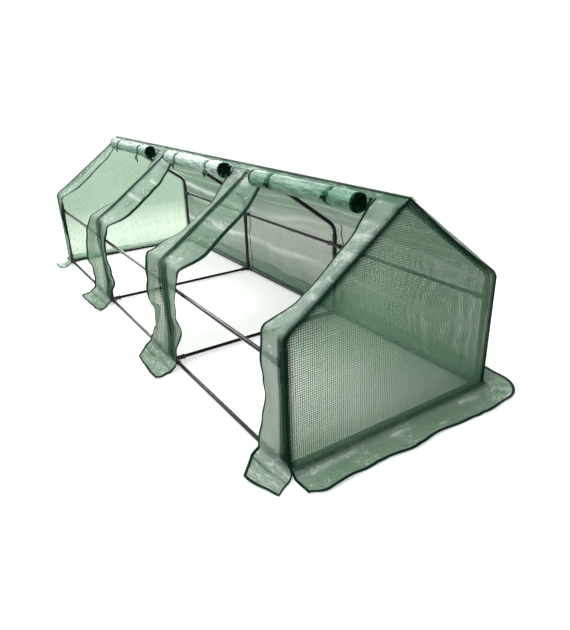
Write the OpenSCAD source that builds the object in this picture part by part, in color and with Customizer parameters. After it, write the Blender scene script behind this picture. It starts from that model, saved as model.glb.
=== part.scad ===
// Low garden polytunnel: a push-fit tube frame with three bays, and a film cover
// whose three doors are rolled up under the ridge.
// +X runs along the tunnel, -Y is the door side, +Z is up. The origin is on the
// ground, at the middle of the footprint.

/* [Frame] */
// Number of bays, each with one door
bays = 3; // [2:1:5]
// Distance from one hoop to the next
bay_pitch = 900; // [800:10:1100]
// Width between the leg axes of a hoop
frame_w = 890; // [760:10:1100]
// Height of the ridge bar axis
ridge_h = 786; // [720:2:900]
// Height where the leg and slope axes would cross
eave_h = 465; // [420:5:560]
// Height of the purlin axis
purlin_h = 370; // [300:2:376]
// Height of the ground rail axis
rail_h = 12.5; // [12.5:0.5:20]
// Bend radius of the hoop axis at the eave
bend_r = 78; // [60:2:90]

/* [Tubes] */
// Outer diameter of legs and rafters
hoop_d = 19; // [16:0.5:22]
// Outer diameter of ridge bars, purlins and ground bars
bar_d = 16; // [13:0.5:19]
// Wall of every tube
tube_wall = 0.8; // [0.6:0.1:1.5]
// How much the bend draws the tube in, on its radius
bend_neck = 0.1; // [0.08:0.01:0.2]

/* [Connectors] */
// Depth that a tube is pushed into a socket
socket_depth = 35; // [25:1:50]
// Wall of a socket
socket_wall = 2.2; // [1.6:0.1:3]
// Clearance between a tube and its socket
socket_gap = 0.15; // [0.1:0.05:0.3]
// How far the bead at a socket's mouth stands out
bead_h = 1; // [0.6:0.1:1.4]
// Length of that bead
bead_w = 5; // [3:0.5:8]
// Solid wall between a tube's end and its neighbour's bore
hub_web = 3; // [2.5:0.5:6]
// Diameter of the flat sole under a foot
sole_d = 25; // [18:1:26]

/* [Cover] */
// Thickness of the cover film
film_t = 1.5; // [1:0.1:2]
// Clearance between the film and what it lies on
film_gap = 0.3; // [0.2:0.1:0.5]
// Radius of the eave crease, measured at the hoop's axis
film_bend_r = 25; // [10:1:60]
// Distance from the end hoop's axis to the end panel
end_standoff = 24; // [18:1:40]
// Width of the strip over a middle hoop
strip_w = 336; // [240:4:400]
// Width of the strip beside an end panel
end_strip_w = 124; // [90:2:200]
// How far a strip's free edge hangs in, halfway down the slope
strip_sag = 62; // [30:1:70]
// How far it hangs in at the eave
eave_sag = 25; // [10:1:30]
// Length of the flap at a strip's foot
flap_w = 120; // [80:5:180]
// Bend radius where a strip turns into its flap
flap_r = 24; // [15:1:40]
// How far a flap's end lies to the right of its strip
flap_lean = 45; // [0:5:60]
// Width of the skirts at the back and the ends
skirt_w = 120; // [80:5:180]
// Width of the ridge band, each way from the ridge
band_w = 30; // [30:1:60]

/* [Rolled doors] */
// Length of a roll along the ridge
roll_len = 640; // [560:5:660]
// How far the rolls hang off their bay's middle
roll_shift = 10; // [-20:5:30]
// Distance down the slope from the ridge band's edge to a roll
roll_drop = 1; // [1:1:60]
// Radius of the empty core
roll_core_r = 8; // [5:0.5:12]
// Pitch of one turn of the roll
roll_pitch = 3; // [2.6:0.1:4]
// Thickness of the film in the roll
roll_film_t = 1.2; // [0.8:0.1:1.5]
// Spare length at the door's bottom edge
door_spare = 60; // [20:5:120]

/* [Ties] */
// Width of a tie strap
tie_w = 18; // [10:1:25]
// Thickness of a tie strap
tie_t = 1.2; // [0.8:0.1:2]
// First tie's distance from the roll's left end
tie_in_left = 140; // [80:5:200]
// Second tie's distance from the roll's right end
tie_in_right = 140; // [80:5:240]
// Distance from the ridge band's edge to where the ties are sewn on
tie_seam = 5; // [5:1:12]

/* [Hidden] */
$fn = 48;
// Film is cut into this many flats at each bend
bend_steps = 8;
// Flats of a strip down its slope, from its eave to the purlin, and from its hoop out to its edge
slope_steps = 12;
wall_steps = 4;
side_steps = 4;
// How a strip's sag grows towards its free edge
sag_power = 1.25;
// Flats in one turn of a rolled door
turn_steps = 24;
// Places across a roll where its seat is tried
seat_steps = 40;
// How far a cutting tool runs past the face that it opens
cut_past = 1;
// How far a straight tube runs over the drawn-in bend
bend_lap = 2;

hoops = bays + 1;
half_w = frame_w / 2;
slope_a = atan((ridge_h - eave_h) / half_w);
bend_a = 90 - slope_a;
bend_tangent = bend_r * tan(bend_a / 2);
slope_len = half_w / cos(slope_a);

// A tube's end stands this far from the middle of its connector
hub_stop = hoop_d / 2 + hub_web;
hub_r = socket_r(hoop_d) + bead_h / 2;
collar_r = socket_r(hoop_d) + bead_h;

// Offsets of the film layers from the hoop's axis
film_in = collar_r + film_gap;
film_out = film_in + film_t;
tail_in = film_out + film_gap;
tail_out = tail_in + roll_film_t;
band_in = tail_out + film_gap;
band_out = band_in + film_t;
cover_end_x = hoop_x(bays) + end_standoff;

// A door as long as the slope and the wall rolls up to this radius
door_len = slope_len + eave_h + door_spare;
roll_r = sqrt(pow(roll_core_r, 2) + door_len * roll_pitch / PI);
roll_turns = (roll_r - roll_core_r) / roll_pitch;
tie_path_r = roll_r + film_gap;

frame_black = [0.12, 0.12, 0.13];
plastic_black = [0.06, 0.06, 0.06];
film_green = [0.47, 0.61, 0.49];
trim_green = [0.08, 0.2, 0.13];

// Places along the frame
function hoop_x(i) = (i - bays / 2) * bay_pitch;
function bay_x(k) = (hoop_x(k) + hoop_x(k + 1)) / 2;
function socket_r(d) = d / 2 + socket_gap + socket_wall;

// Outline of a hoop in the YZ plane, offset outwards by d, on the +Y side
function apex(d) = [0, ridge_h + d / cos(slope_a)];
function slope_point(s, d) =
    [s * cos(slope_a) + d * sin(slope_a), ridge_h - s * sin(slope_a) + d * cos(slope_a)];
function eave_point(r, d, turn) = [
    half_w - r + (r + d) * cos(turn),
    eave_h - r * tan(bend_a / 2) + (r + d) * sin(turn)
];
function eave_arc(d) =
    [for (k = [bend_steps:-1:0]) eave_point(film_bend_r, d, bend_a * k / bend_steps)];
function half_outline(d, foot_z) = concat([apex(d)], eave_arc(d), [[half_w + d, foot_z]]);
function reversed(list) = [for (k = [len(list) - 1:-1:0]) list[k]];
function mirrored(list) = [for (p = list) [-p[0], p[1]]];

// Flap at a strip's foot, bent outwards onto the ground
function flap_point(r, turn) =
    [half_w + film_out + flap_r + r * cos(turn), film_t + flap_r + r * sin(turn)];
flap_top_z = film_t + flap_r;
flap_start_y = half_w + film_out + flap_r;
flap_end_y = half_w + film_in + flap_w;

// How far a strip's free edge hangs in, at the share u down the slope and at step k down the
// wall, where it ends as the film meets the purlin
function slope_sag(u) = strip_sag * sin(180 * u) + eave_sag * u * u;
function wall_sag(k) = eave_sag * pow(1 - k / wall_steps, 2);
wall_top_z = eave_point(film_bend_r, 0, 0)[1];
wall_seat_z = purlin_h + socket_r(bar_d) + bead_h;

// Share of that sag at the distance x from the hoop, and the places where it is worked out
function sag_share(x, reach) = pow(max(0, x - hoop_d / 2) / (reach - hoop_d / 2), sag_power);
function free_side(reach) =
    [for (k = [0:side_steps]) hoop_d / 2 + (reach - hoop_d / 2) * k / side_steps];

// The sag by distance down the slope from the ridge
strip_start_s = -film_out * tan(slope_a);
strip_end_s = slope_len - film_bend_r * tan(bend_a / 2);
sag_table = [for (k = [0:slope_steps])
    let (u = k / slope_steps)
    [strip_start_s + (strip_end_s - strip_start_s) * u, slope_sag(u)]];

// Rows of a strip from the ridge down to the flap's end: the film's outer and inner point,
// and how far the free edge moves in there
function slope_at(u, d) = (1 - u) * apex(d) + u * eave_point(film_bend_r, d, bend_a);
function slope_row(u) =
    [slope_at(u, film_out), slope_at(u, film_in), -slope_sag(u) * [sin(slope_a), cos(slope_a)]];
function eave_row(turn) = [
    eave_point(film_bend_r, film_out, turn),
    eave_point(film_bend_r, film_in, turn),
    -eave_sag * [cos(turn), sin(turn)]
];
function wall_row(z, sag) = [[half_w + film_out, z], [half_w + film_in, z], [-sag, 0]];
function wall_z(k) = wall_top_z + (wall_seat_z - wall_top_z) * k / wall_steps;
function flap_row(turn) = [flap_point(flap_r, turn), flap_point(flap_r + film_t, turn), [0, 0]];
strip_rows = concat(
    [for (k = [0:slope_steps]) slope_row(k / slope_steps)],
    [for (k = [bend_steps - 1:-1:0]) eave_row(bend_a * k / bend_steps)],
    [for (k = [1:wall_steps]) wall_row(wall_z(k), wall_sag(k))],
    [wall_row(flap_top_z, 0)],
    [for (k = [1:bend_steps]) flap_row(180 + 90 * k / bend_steps)],
    [[[flap_end_y, film_t], [flap_end_y, 0], [0, 0]]]);
function row_lean(row) = flap_lean * max(0, row[0][0] - flap_start_y) / (flap_end_y - flap_start_y);

// Places across a strip as [x from the hoop, share of the sag]
function free_places(reach) = [for (x = free_side(reach)) [x, sag_share(x, reach)]];
end_places = concat([[-end_standoff, 0]], free_places(end_strip_w - end_standoff));
middle_places = concat(reversed(mirrored(free_places(strip_w / 2))), free_places(strip_w / 2));
function strip_places(i) =
    i == 0 ? end_places : i == bays ? reversed(mirrored(end_places)) : middle_places;

// Distance down the slope from the ridge to a roll's axis
roll_down = band_w + roll_drop + roll_r;

// A roll rests on the drooping film of the hoop that its end reaches furthest over, whose flats
// stand a little proud of its curve
roll_end_x = bay_pitch / 2 - abs(roll_shift) - roll_len / 2;
roll_end_share = lookup(roll_end_x, free_places(strip_w / 2));
roll_offset = 2 * film_gap + max([for (k = [-seat_steps:seat_steps])
    let (t = k / seat_steps)
    film_out - roll_end_share * lookup(roll_down + roll_r * t, sag_table) + roll_r * sqrt(1 - t * t)]);

// The door's film runs from the ridge to where it touches its roll
roll_middle = slope_point(roll_down, roll_offset);
tail_head = slope_point(0, tail_in);
tail_run = tail_head - roll_middle;
tail_turn = atan2(tail_run[1], tail_run[0]) + acos(roll_r / norm(tail_run));
tail_out_way = -[cos(tail_turn), sin(tail_turn)];
tail_down_way = -[sin(tail_turn), -cos(tail_turn)];

// Spiral of a rolled door, from its core out to where its film leaves for the ridge
function spiral(r0) = [for (k = [0:ceil(roll_turns * turn_steps)])
    let (turn = min(k / turn_steps, roll_turns))
    let (a = tail_turn + 360 * (roll_turns - turn))
    (r0 + roll_pitch * turn) * [cos(a), sin(a)]];

// Draws a shape of the YZ plane and runs it from x0 along +X
module along_x(x0, length) {
    translate([x0, 0, 0]) rotate([90, 0, 90]) linear_extrude(height = length) children();
}

// A side of -1 is the front and 1 is the back
module on_side(side) {
    if (side < 0) mirror([0, 1, 0]) children();
    else children();
}

module tube_ring(d) {
    difference() {
        circle(d = d);
        circle(d = d - 2 * tube_wall);
    }
}

module tube(d, length) {
    linear_extrude(height = length) tube_ring(d);
}

// A moulded connector: a hub with one socket for each [turn, tube diameter]
module connector(arms) {
    difference() {
        union() {
            sphere(r = hub_r);
            for (arm = arms) rotate(arm[0]) {
                cylinder(r = socket_r(arm[1]), h = hub_stop + socket_depth);
                translate([0, 0, hub_stop + socket_depth - bead_w])
                    cylinder(r = socket_r(arm[1]) + bead_h, h = bead_w);
            }
            children();
        }
        for (arm = arms) rotate(arm[0]) translate([0, 0, hub_stop])
            cylinder(r = arm[1] / 2 + socket_gap, h = socket_depth + cut_past);
    }
}

// Socket arms along the tunnel at hoop i: two in the middle, one at an end
function long_arms(i) = concat(
    i > 0 ? [[[0, -90, 0], bar_d]] : [],
    i < bays ? [[[0, 90, 0], bar_d]] : []);

module leg(i, side) {
    color(frame_black) on_side(side) translate([hoop_x(i), half_w, rail_h + hub_stop])
        tube(hoop_d, purlin_h - rail_h - 2 * hub_stop);
}

// The rod of a rafter from its purlin connector to the ridge, as thick as radius r.
// The bend is drawn in a little, and each straight runs a short way over it.
module rafter_rod(r, past) {
    bend_z = eave_h - bend_tangent;
    start_z = purlin_h + hub_stop;
    bend_end = eave_point(bend_r, 0, bend_a);
    translate([0, half_w, start_z - past]) cylinder(r = r, h = bend_z - start_z + past + bend_lap);
    translate([0, half_w - bend_r, bend_z]) rotate([90, 0, 90])
        rotate_extrude(angle = bend_a) translate([bend_r, 0]) circle(r = r - bend_neck);
    translate([0, bend_end[0], bend_end[1]]) rotate([bend_a, 0, 0]) translate([0, 0, -bend_lap])
        cylinder(r = r, h = slope_len - bend_tangent - hub_stop + past + bend_lap);
}

module rafter(i, side) {
    color(frame_black) on_side(side) translate([hoop_x(i), 0, 0]) difference() {
        rafter_rod(hoop_d / 2, 0);
        rafter_rod(hoop_d / 2 - tube_wall, cut_past);
    }
}

// One bar in each bay, at the place (y, z)
module long_bars(y, z) {
    color(frame_black) for (k = [0:bays - 1])
        translate([hoop_x(k) + hub_stop, y, z]) rotate([0, 90, 0])
            tube(bar_d, bay_pitch - 2 * hub_stop);
}

module ridge_bars() long_bars(0, ridge_h);

module purlins(side) long_bars(side * half_w, purlin_h);

module base_rails(side) long_bars(side * half_w, rail_h);

module ground_bars() {
    color(frame_black) for (i = [0:bays])
        translate([hoop_x(i), hub_stop - half_w, rail_h]) rotate([-90, 0, 0])
            tube(bar_d, frame_w - 2 * hub_stop);
}

module ridge_connectors() {
    down = 90 + slope_a;
    color(plastic_black) for (i = [0:bays]) translate([hoop_x(i), 0, ridge_h])
        connector(concat([[[down, 0, 0], hoop_d], [[-down, 0, 0], hoop_d]], long_arms(i)));
}

module purlin_connectors(side) {
    color(plastic_black) for (i = [0:bays]) translate([hoop_x(i), side * half_w, purlin_h])
        connector(concat([[[0, 0, 0], hoop_d], [[180, 0, 0], hoop_d]], long_arms(i)));
}

module feet(side) {
    inwards = [side * 90, 0, 0];
    color(plastic_black) for (i = [0:bays]) translate([hoop_x(i), side * half_w, rail_h])
        connector(concat([[[0, 0, 0], hoop_d], [inwards, bar_d]], long_arms(i)))
            translate([0, 0, -rail_h]) cylinder(d = sole_d, h = rail_h);
}

module back_cover() {
    color(film_green) along_x(-cover_end_x, 2 * cover_end_x)
        polygon(concat(half_outline(film_out, film_t), reversed(half_outline(film_in, film_t))));
}

module end_panel(side) {
    outline = half_outline(film_out, film_t);
    color(film_green) along_x(side < 0 ? -cover_end_x - film_t : cover_end_x, film_t)
        polygon(concat(outline, reversed(mirrored(outline))));
}

// A sheet of film through a grid of points, with its outer face first and its inner face next
module film_sheet(places, rows) {
    m = len(places);
    n = len(rows);
    function point(place, row, face) =
        let (p = row[face] + place[1] * row[2])
        [place[0] + row_lean(row), p[0], p[1]];
    function out(i, j) = i * n + j;
    function in(i, j) = (m + i) * n + j;
    points = [for (face = [0, 1], place = places, row = rows) point(place, row, face)];
    quads = concat(
        [for (i = [0:m - 2], j = [0:n - 2]) [out(i, j), out(i, j + 1), out(i + 1, j + 1), out(i + 1, j)]],
        [for (i = [0:m - 2], j = [0:n - 2]) [in(i, j), in(i + 1, j), in(i + 1, j + 1), in(i, j + 1)]],
        [for (j = [0:n - 2]) [out(0, j + 1), out(0, j), in(0, j), in(0, j + 1)]],
        [for (j = [0:n - 2]) [out(m - 1, j), out(m - 1, j + 1), in(m - 1, j + 1), in(m - 1, j)]],
        [for (i = [0:m - 2]) [out(i, 0), out(i + 1, 0), in(i + 1, 0), in(i, 0)]],
        [for (i = [0:m - 2]) [out(i + 1, n - 1), out(i, n - 1), in(i, n - 1), in(i + 1, n - 1)]]);
    faces = [for (q = quads, half = [0, 2]) [q[half], q[half + 1], q[(half + 2) % 4]]];
    polyhedron(points, faces);
}

module front_strip(i) {
    color(film_green) on_side(-1) translate([hoop_x(i), 0, 0]) film_sheet(strip_places(i), strip_rows);
}

module ridge_band() {
    outer = [apex(band_out), slope_point(band_w, band_out)];
    inner = [apex(band_in), slope_point(band_w, band_in)];
    color(trim_green) along_x(-cover_end_x - film_t, 2 * (cover_end_x + film_t))
        polygon(concat(mirrored([outer[1]]), outer, reversed(inner), mirrored([inner[1]])));
}

// The roll's spiral, and the film that runs from it up the slope to the ridge
module rolled_door(k) {
    outer = [for (p = spiral(roll_core_r)) p + roll_middle];
    inner = [for (p = spiral(roll_core_r - roll_film_t)) p + roll_middle];
    head = [tail_head, tail_head + roll_film_t * tail_out_way];
    color(film_green) along_x(bay_x(k) + roll_shift - roll_len / 2, roll_len)
        polygon(mirrored(concat(outer, head, reversed(inner))));
}

// A strap from the ridge over the roll, round it and back under the door's film
module tie_profile() {
    start = tail_head + (band_w + tie_seam) * tail_down_way;
    root = start + (roll_film_t + tie_t + film_gap) * tail_out_way;
    reach = norm(roll_middle - root);
    aim = atan2(roll_middle[1] - root[1], roll_middle[0] - root[0]);
    touch = aim + acos(-tie_path_r / reach);
    under = tail_turn - 360;
    turns = [for (j = [0:turn_steps]) touch + (under - touch) * j / turn_steps];
    lift = tie_t * [cos(touch), sin(touch)];
    end = start - film_gap * tail_out_way;
    inner = concat([root], [for (a = turns) roll_middle + tie_path_r * [cos(a), sin(a)]], [end]);
    outer = concat([root + lift],
        [for (a = turns) roll_middle + (tie_path_r + tie_t) * [cos(a), sin(a)]],
        [end - tie_t * tail_out_way]);
    polygon(mirrored(concat(inner, reversed(outer))));
}

module door_ties(k) {
    left = bay_x(k) + roll_shift - roll_len / 2;
    places = [left + tie_in_left, left + roll_len - tie_in_right];
    color(trim_green) for (x = places) along_x(x - tie_w / 2, tie_w) tie_profile();
}

module back_skirt() {
    near = half_w + film_in;
    far = near + skirt_w;
    inner_x = cover_end_x - film_gap;
    outer_x = cover_end_x + skirt_w - film_gap;
    color(film_green) linear_extrude(height = film_t)
        polygon([[-inner_x, near], [inner_x, near], [outer_x, far], [-outer_x, far]]);
}

module end_skirt(side) {
    near = half_w + film_in;
    front = -half_w - film_out;
    outer_x = cover_end_x + skirt_w;
    color(film_green) linear_extrude(height = film_t)
        polygon([for (p = [[cover_end_x, front], [outer_x, front],
            [outer_x, near + skirt_w], [cover_end_x, near]]) [side * p[0], p[1]]]);
}

leg(0, -1);  // front_leg_1
leg(1, -1);  // front_leg_2
leg(2, -1);  // front_leg_3
leg(3, -1);  // front_leg_4
leg(0, 1);  // back_leg_1
leg(1, 1);  // back_leg_2
leg(2, 1);  // back_leg_3
leg(3, 1);  // back_leg_4
rafter(0, -1);  // front_rafter_1
rafter(1, -1);  // front_rafter_2
rafter(2, -1);  // front_rafter_3
rafter(3, -1);  // front_rafter_4
rafter(0, 1);  // back_rafter_1
rafter(1, 1);  // back_rafter_2
rafter(2, 1);  // back_rafter_3
rafter(3, 1);  // back_rafter_4
ridge_bars();
purlins(-1);  // front_purlins
purlins(1);  // back_purlins
base_rails(-1);  // front_base_rails
base_rails(1);  // back_base_rails
ground_bars();
ridge_connectors();
purlin_connectors(-1);  // front_purlin_connectors
purlin_connectors(1);  // back_purlin_connectors
feet(-1);  // front_feet
feet(1);  // back_feet
back_cover();
end_panel(-1);  // left_end_panel
end_panel(1);  // right_end_panel
front_strip(0);  // front_strip_1
front_strip(1);  // front_strip_2
front_strip(2);  // front_strip_3
front_strip(3);  // front_strip_4
ridge_band();
rolled_door(0);  // rolled_door_1
rolled_door(1);  // rolled_door_2
rolled_door(2);  // rolled_door_3
door_ties(0);  // door_ties_1
door_ties(1);  // door_ties_2
door_ties(2);  // door_ties_3
back_skirt();
end_skirt(-1);  // left_skirt
end_skirt(1);  // right_skirt
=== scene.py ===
"""Dresses a low garden polytunnel: its film cover, rolled-up doors, bindings and finishes."""

from __future__ import annotations

import logging
import math
from dataclasses import dataclass, field
from enum import Enum
from typing import Callable, Optional, Union

import bpy
import numpy as np
from mathutils import Matrix, Vector

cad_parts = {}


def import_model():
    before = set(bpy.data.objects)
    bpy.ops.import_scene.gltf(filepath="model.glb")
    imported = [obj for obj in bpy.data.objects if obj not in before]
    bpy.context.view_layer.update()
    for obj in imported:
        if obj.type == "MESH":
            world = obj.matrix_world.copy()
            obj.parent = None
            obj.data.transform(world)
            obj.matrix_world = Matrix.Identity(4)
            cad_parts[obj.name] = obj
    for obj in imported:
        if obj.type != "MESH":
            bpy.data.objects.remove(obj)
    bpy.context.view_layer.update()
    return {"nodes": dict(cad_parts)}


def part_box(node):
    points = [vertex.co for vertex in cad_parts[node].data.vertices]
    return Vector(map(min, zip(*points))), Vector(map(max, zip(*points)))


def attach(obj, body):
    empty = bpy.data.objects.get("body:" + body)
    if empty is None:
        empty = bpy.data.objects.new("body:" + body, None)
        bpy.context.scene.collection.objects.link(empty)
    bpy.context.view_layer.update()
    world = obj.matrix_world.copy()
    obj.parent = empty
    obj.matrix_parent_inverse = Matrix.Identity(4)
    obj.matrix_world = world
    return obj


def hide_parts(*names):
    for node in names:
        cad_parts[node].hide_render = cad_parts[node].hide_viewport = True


LOG = logging.getLogger("polytunnel")
Array = np.ndarray
Placer = Callable[[Array, Array], Array]
Keeper = Callable[[float, float], bool]
Points = tuple[tuple[float, float], ...]
Colour = tuple[float, float, float, float]
Piece = bpy.types.Object
Socket = bpy.types.NodeSocket
Feed = Union[Socket, float]
Paint = Union[Socket, Colour]

BODY = "root"
UV_NAME = "flat_cut"
# Pale, from 0 to 1: lightens the film towards a pale colour, mostly as painted glare and glints, partly as
# tone that varies at random.
PALE = "pale"
CRINKLE = "crinkle"
# Painted shade, from 0 to 1: darkens the film along the tubes behind it, in folds, over shaded walls and
# near the ground, and darkens a whole roll.
PAINTED_SHADE = "painted_shade"
WHITE: Colour = (1.0, 1.0, 1.0, 1.0)


class Slot(Enum):
    """Names of the cover's material slots, which dress is given but does not read."""

    FILM = "cover_film"
    TRIM = "trim"
    ROLL = "rolled_film"
    TIE = "tie"


class Held(Enum):
    """How a sheet is held."""

    STRETCHED = "stretched"
    HUNG = "hung"
    DRAPED = "draped"
    LAID = "laid"
    FOLDED = "folded"


def ease(low: float, high: float, value: Array) -> Array:
    """Rises smoothly from 0 at low to 1 at high.

    Args:
        low: Value where the rise starts.
        high: Value where it ends.
        value: Values to ease.

    Returns:
        Values from 0 to 1.
    """
    t = np.clip((value - low) / (high - low), 0.0, 1.0)
    return t * t * (3.0 - 2.0 * t)


def through(points: Points, value: Array) -> Array:
    """Follows listed (place, height) points, levelling out at each one.

    Args:
        points: Places and heights, in order of place.
        value: Places to read.

    Returns:
        A height for each place.
    """
    places, heights = zip(*points)
    result = np.full(np.shape(value), float(heights[0]))
    for low, high, start, end in zip(places, places[1:], heights, heights[1:]):
        result = result + (end - start) * ease(low, high, value)
    return result


def bell(middle: float, width: float, value: Array) -> Array:
    """A bump of height 1 at middle that fades over width."""
    return np.exp(-(((value - middle) / width) ** 2))


def wave(value: Array, length: float, phase: float = 0.0) -> Array:
    """A sine wave with the given wavelength, and a phase in turns."""
    return np.sin(2.0 * math.pi * (value / length + phase))


class FoldNoise:
    """Smooth seeded noise over a sheet's flat cut, from -1 to 1."""

    def __init__(self, seed: int, spacing: float) -> None:
        """Draws the lattice.

        Args:
            seed: Seed of the lattice values.
            spacing: Distance between lattice points, in metres.
        """
        self.spacing = spacing
        self.lattice = np.random.default_rng(seed).uniform(-1.0, 1.0, (97, 89))

    def at(self, u: Array, v: Array) -> Array:
        """Reads the noise.

        Args:
            u: First coordinates, in metres.
            v: Second coordinates, in metres.

        Returns:
            A value from -1 to 1 for each point.
        """
        a, b = u / self.spacing + 40.3, v / self.spacing + 40.7
        i, j = np.floor(a).astype(int), np.floor(b).astype(int)
        s, t = a - i, b - j
        s, t = s * s * (3 - 2 * s), t * t * (3 - 2 * t)
        rows, columns = self.lattice.shape

        def corner(di: int, dj: int) -> Array:
            """Lattice values at one corner of each cell."""
            return self.lattice[(i + di) % rows, (j + dj) % columns]

        low = corner(0, 0) * (1 - s) + corner(1, 0) * s
        high = corner(0, 1) * (1 - s) + corner(1, 1) * s
        return low * (1 - t) + high * t

    def creases(self, u: Array, v: Array) -> Array:
        """Narrow ridges where the noise changes sign, from 0 to 1."""
        return (1.0 - np.abs(self.at(u, v))) ** 4


@dataclass(frozen=True)
class TunnelSizes:
    """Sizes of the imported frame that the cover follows, in metres."""

    hoop_x: tuple[float, ...]
    half_w: float
    ridge_z: float
    purlin_z: float
    end_x: float
    film: float
    strip_half: float
    end_strip: float
    flap: float
    skirt: float
    band: float
    eave_z: float = 0.465

    @classmethod
    def from_frame(cls) -> TunnelSizes:
        """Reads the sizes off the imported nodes.

        Returns:
            The sizes of the frame.
        """
        legs = [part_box(f"front_leg_{i}") for i in (1, 2, 3, 4)]
        middles = [(low + high) / 2 for low, high in legs]
        half_w = -middles[0].y
        ridge_low, ridge_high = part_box("ridge_bars")
        purlin_low, purlin_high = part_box("front_purlins")
        panel_low, panel_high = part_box("right_end_panel")
        strip_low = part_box("front_strip_2")[0]
        end_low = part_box("front_strip_4")[0]
        skirt_low, skirt_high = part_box("right_skirt")
        band_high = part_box("ridge_band")[1]
        return cls(
            hoop_x=tuple(m.x for m in middles),
            half_w=half_w,
            ridge_z=(ridge_low.z + ridge_high.z) / 2,
            purlin_z=(purlin_low.z + purlin_high.z) / 2,
            end_x=panel_low.x,
            film=panel_high.y - half_w - 0.0007,
            strip_half=middles[1].x - strip_low.x,
            end_strip=panel_low.x - end_low.x,
            flap=-half_w - strip_low.y,
            skirt=skirt_high.x - skirt_low.x,
            band=band_high.y,
        )

    @property
    def slope(self) -> float:
        """Angle of the roof, in radians."""
        return math.atan2(self.ridge_z - self.eave_z, self.half_w)

    def hoop(self, number: int) -> float:
        """Place along the tunnel of a hoop, counted from 1."""
        return self.hoop_x[number - 1]


class FilmLine:
    """The film's line across the tunnel, from the ridge down to the ground.

    It runs down the slope, round the eave and down the wall, and it may turn out
    at the foot onto the ground.
    """

    STEP = 0.002

    def __init__(self, sizes: TunnelSizes, lift: float, eave_r: float, foot_r: float, flap: float) -> None:
        """Works the line out.

        Args:
            sizes: Sizes of the frame.
            lift: Height of the film above the hoop's axis.
            eave_r: Radius of the crease at the eave.
            foot_r: Radius where the film turns out, or 0 for a wall that ends at the ground.
            flap: Length of film that lies on the ground.
        """
        turn = math.pi / 2 - sizes.slope
        apex = sizes.ridge_z + lift / math.cos(sizes.slope)
        corner_z = apex - (sizes.half_w + lift) * math.tan(sizes.slope)
        cut = eave_r * math.tan(turn / 2)
        self.eave_s = (sizes.half_w + lift) / math.cos(sizes.slope) - cut
        self.wall_s = self.eave_s + eave_r * turn
        self.foot_s = self.wall_s + corner_z - cut - foot_r
        self.ground_s = self.foot_s + foot_r * math.pi / 2
        self.length = self.ground_s + flap
        stretches = [
            (self.eave_s, 0.0),
            (eave_r * turn, turn),
            (self.foot_s - self.wall_s, 0.0),
            (foot_r * math.pi / 2, -math.pi / 2),
            (flap, 0.0),
        ]
        heading = math.pi + sizes.slope
        headings, steps = [heading], []
        for length, bend in stretches:
            count = max(1, round(length / self.STEP))
            if length > 0.0:
                steps += [length / count] * count
                headings += [heading + bend * (k + 1) / count for k in range(count)]
                heading += bend
        heads = np.array(headings)
        mids = (heads[1:] + heads[:-1]) / 2
        moves = np.array(steps)[:, None] * np.stack([np.cos(mids), np.sin(mids)], axis=1)
        self.points = np.vstack([[0.0, apex], [0.0, apex] + np.cumsum(moves, axis=0)])
        self.heads = heads
        self.places = np.concatenate([[0.0], np.cumsum(steps)])

    def at(self, s: Array) -> tuple[Array, Array, Array, Array]:
        """Reads the line on the door side.

        Args:
            s: Distances along the film from the ridge.

        Returns:
            Y and Z of each point, and Y and Z of its outward normal.
        """
        y = np.interp(s, self.places, self.points[:, 0])
        z = np.interp(s, self.places, self.points[:, 1])
        head = np.interp(s, self.places, self.heads)
        return y, z, np.sin(head), -np.cos(head)


def ticks(length: float, low: float, high: float, step: float) -> Array:
    """Grid lines over a length, with one line at the inner edge of each binding.

    Args:
        length: Length to cover.
        low: Width of the binding on the low side, or 0.
        high: Width of the binding on the high side, or 0.
        step: Largest spacing between the other lines.

    Returns:
        Increasing places from 0 to the length.
    """
    inner = np.linspace(low, length - high, max(2, round((length - high - low) / step) + 1))
    start = [0.0] if low > 0.0 else []
    end = [length] if high > 0.0 else []
    return np.concatenate([start, inner, end])


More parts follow.
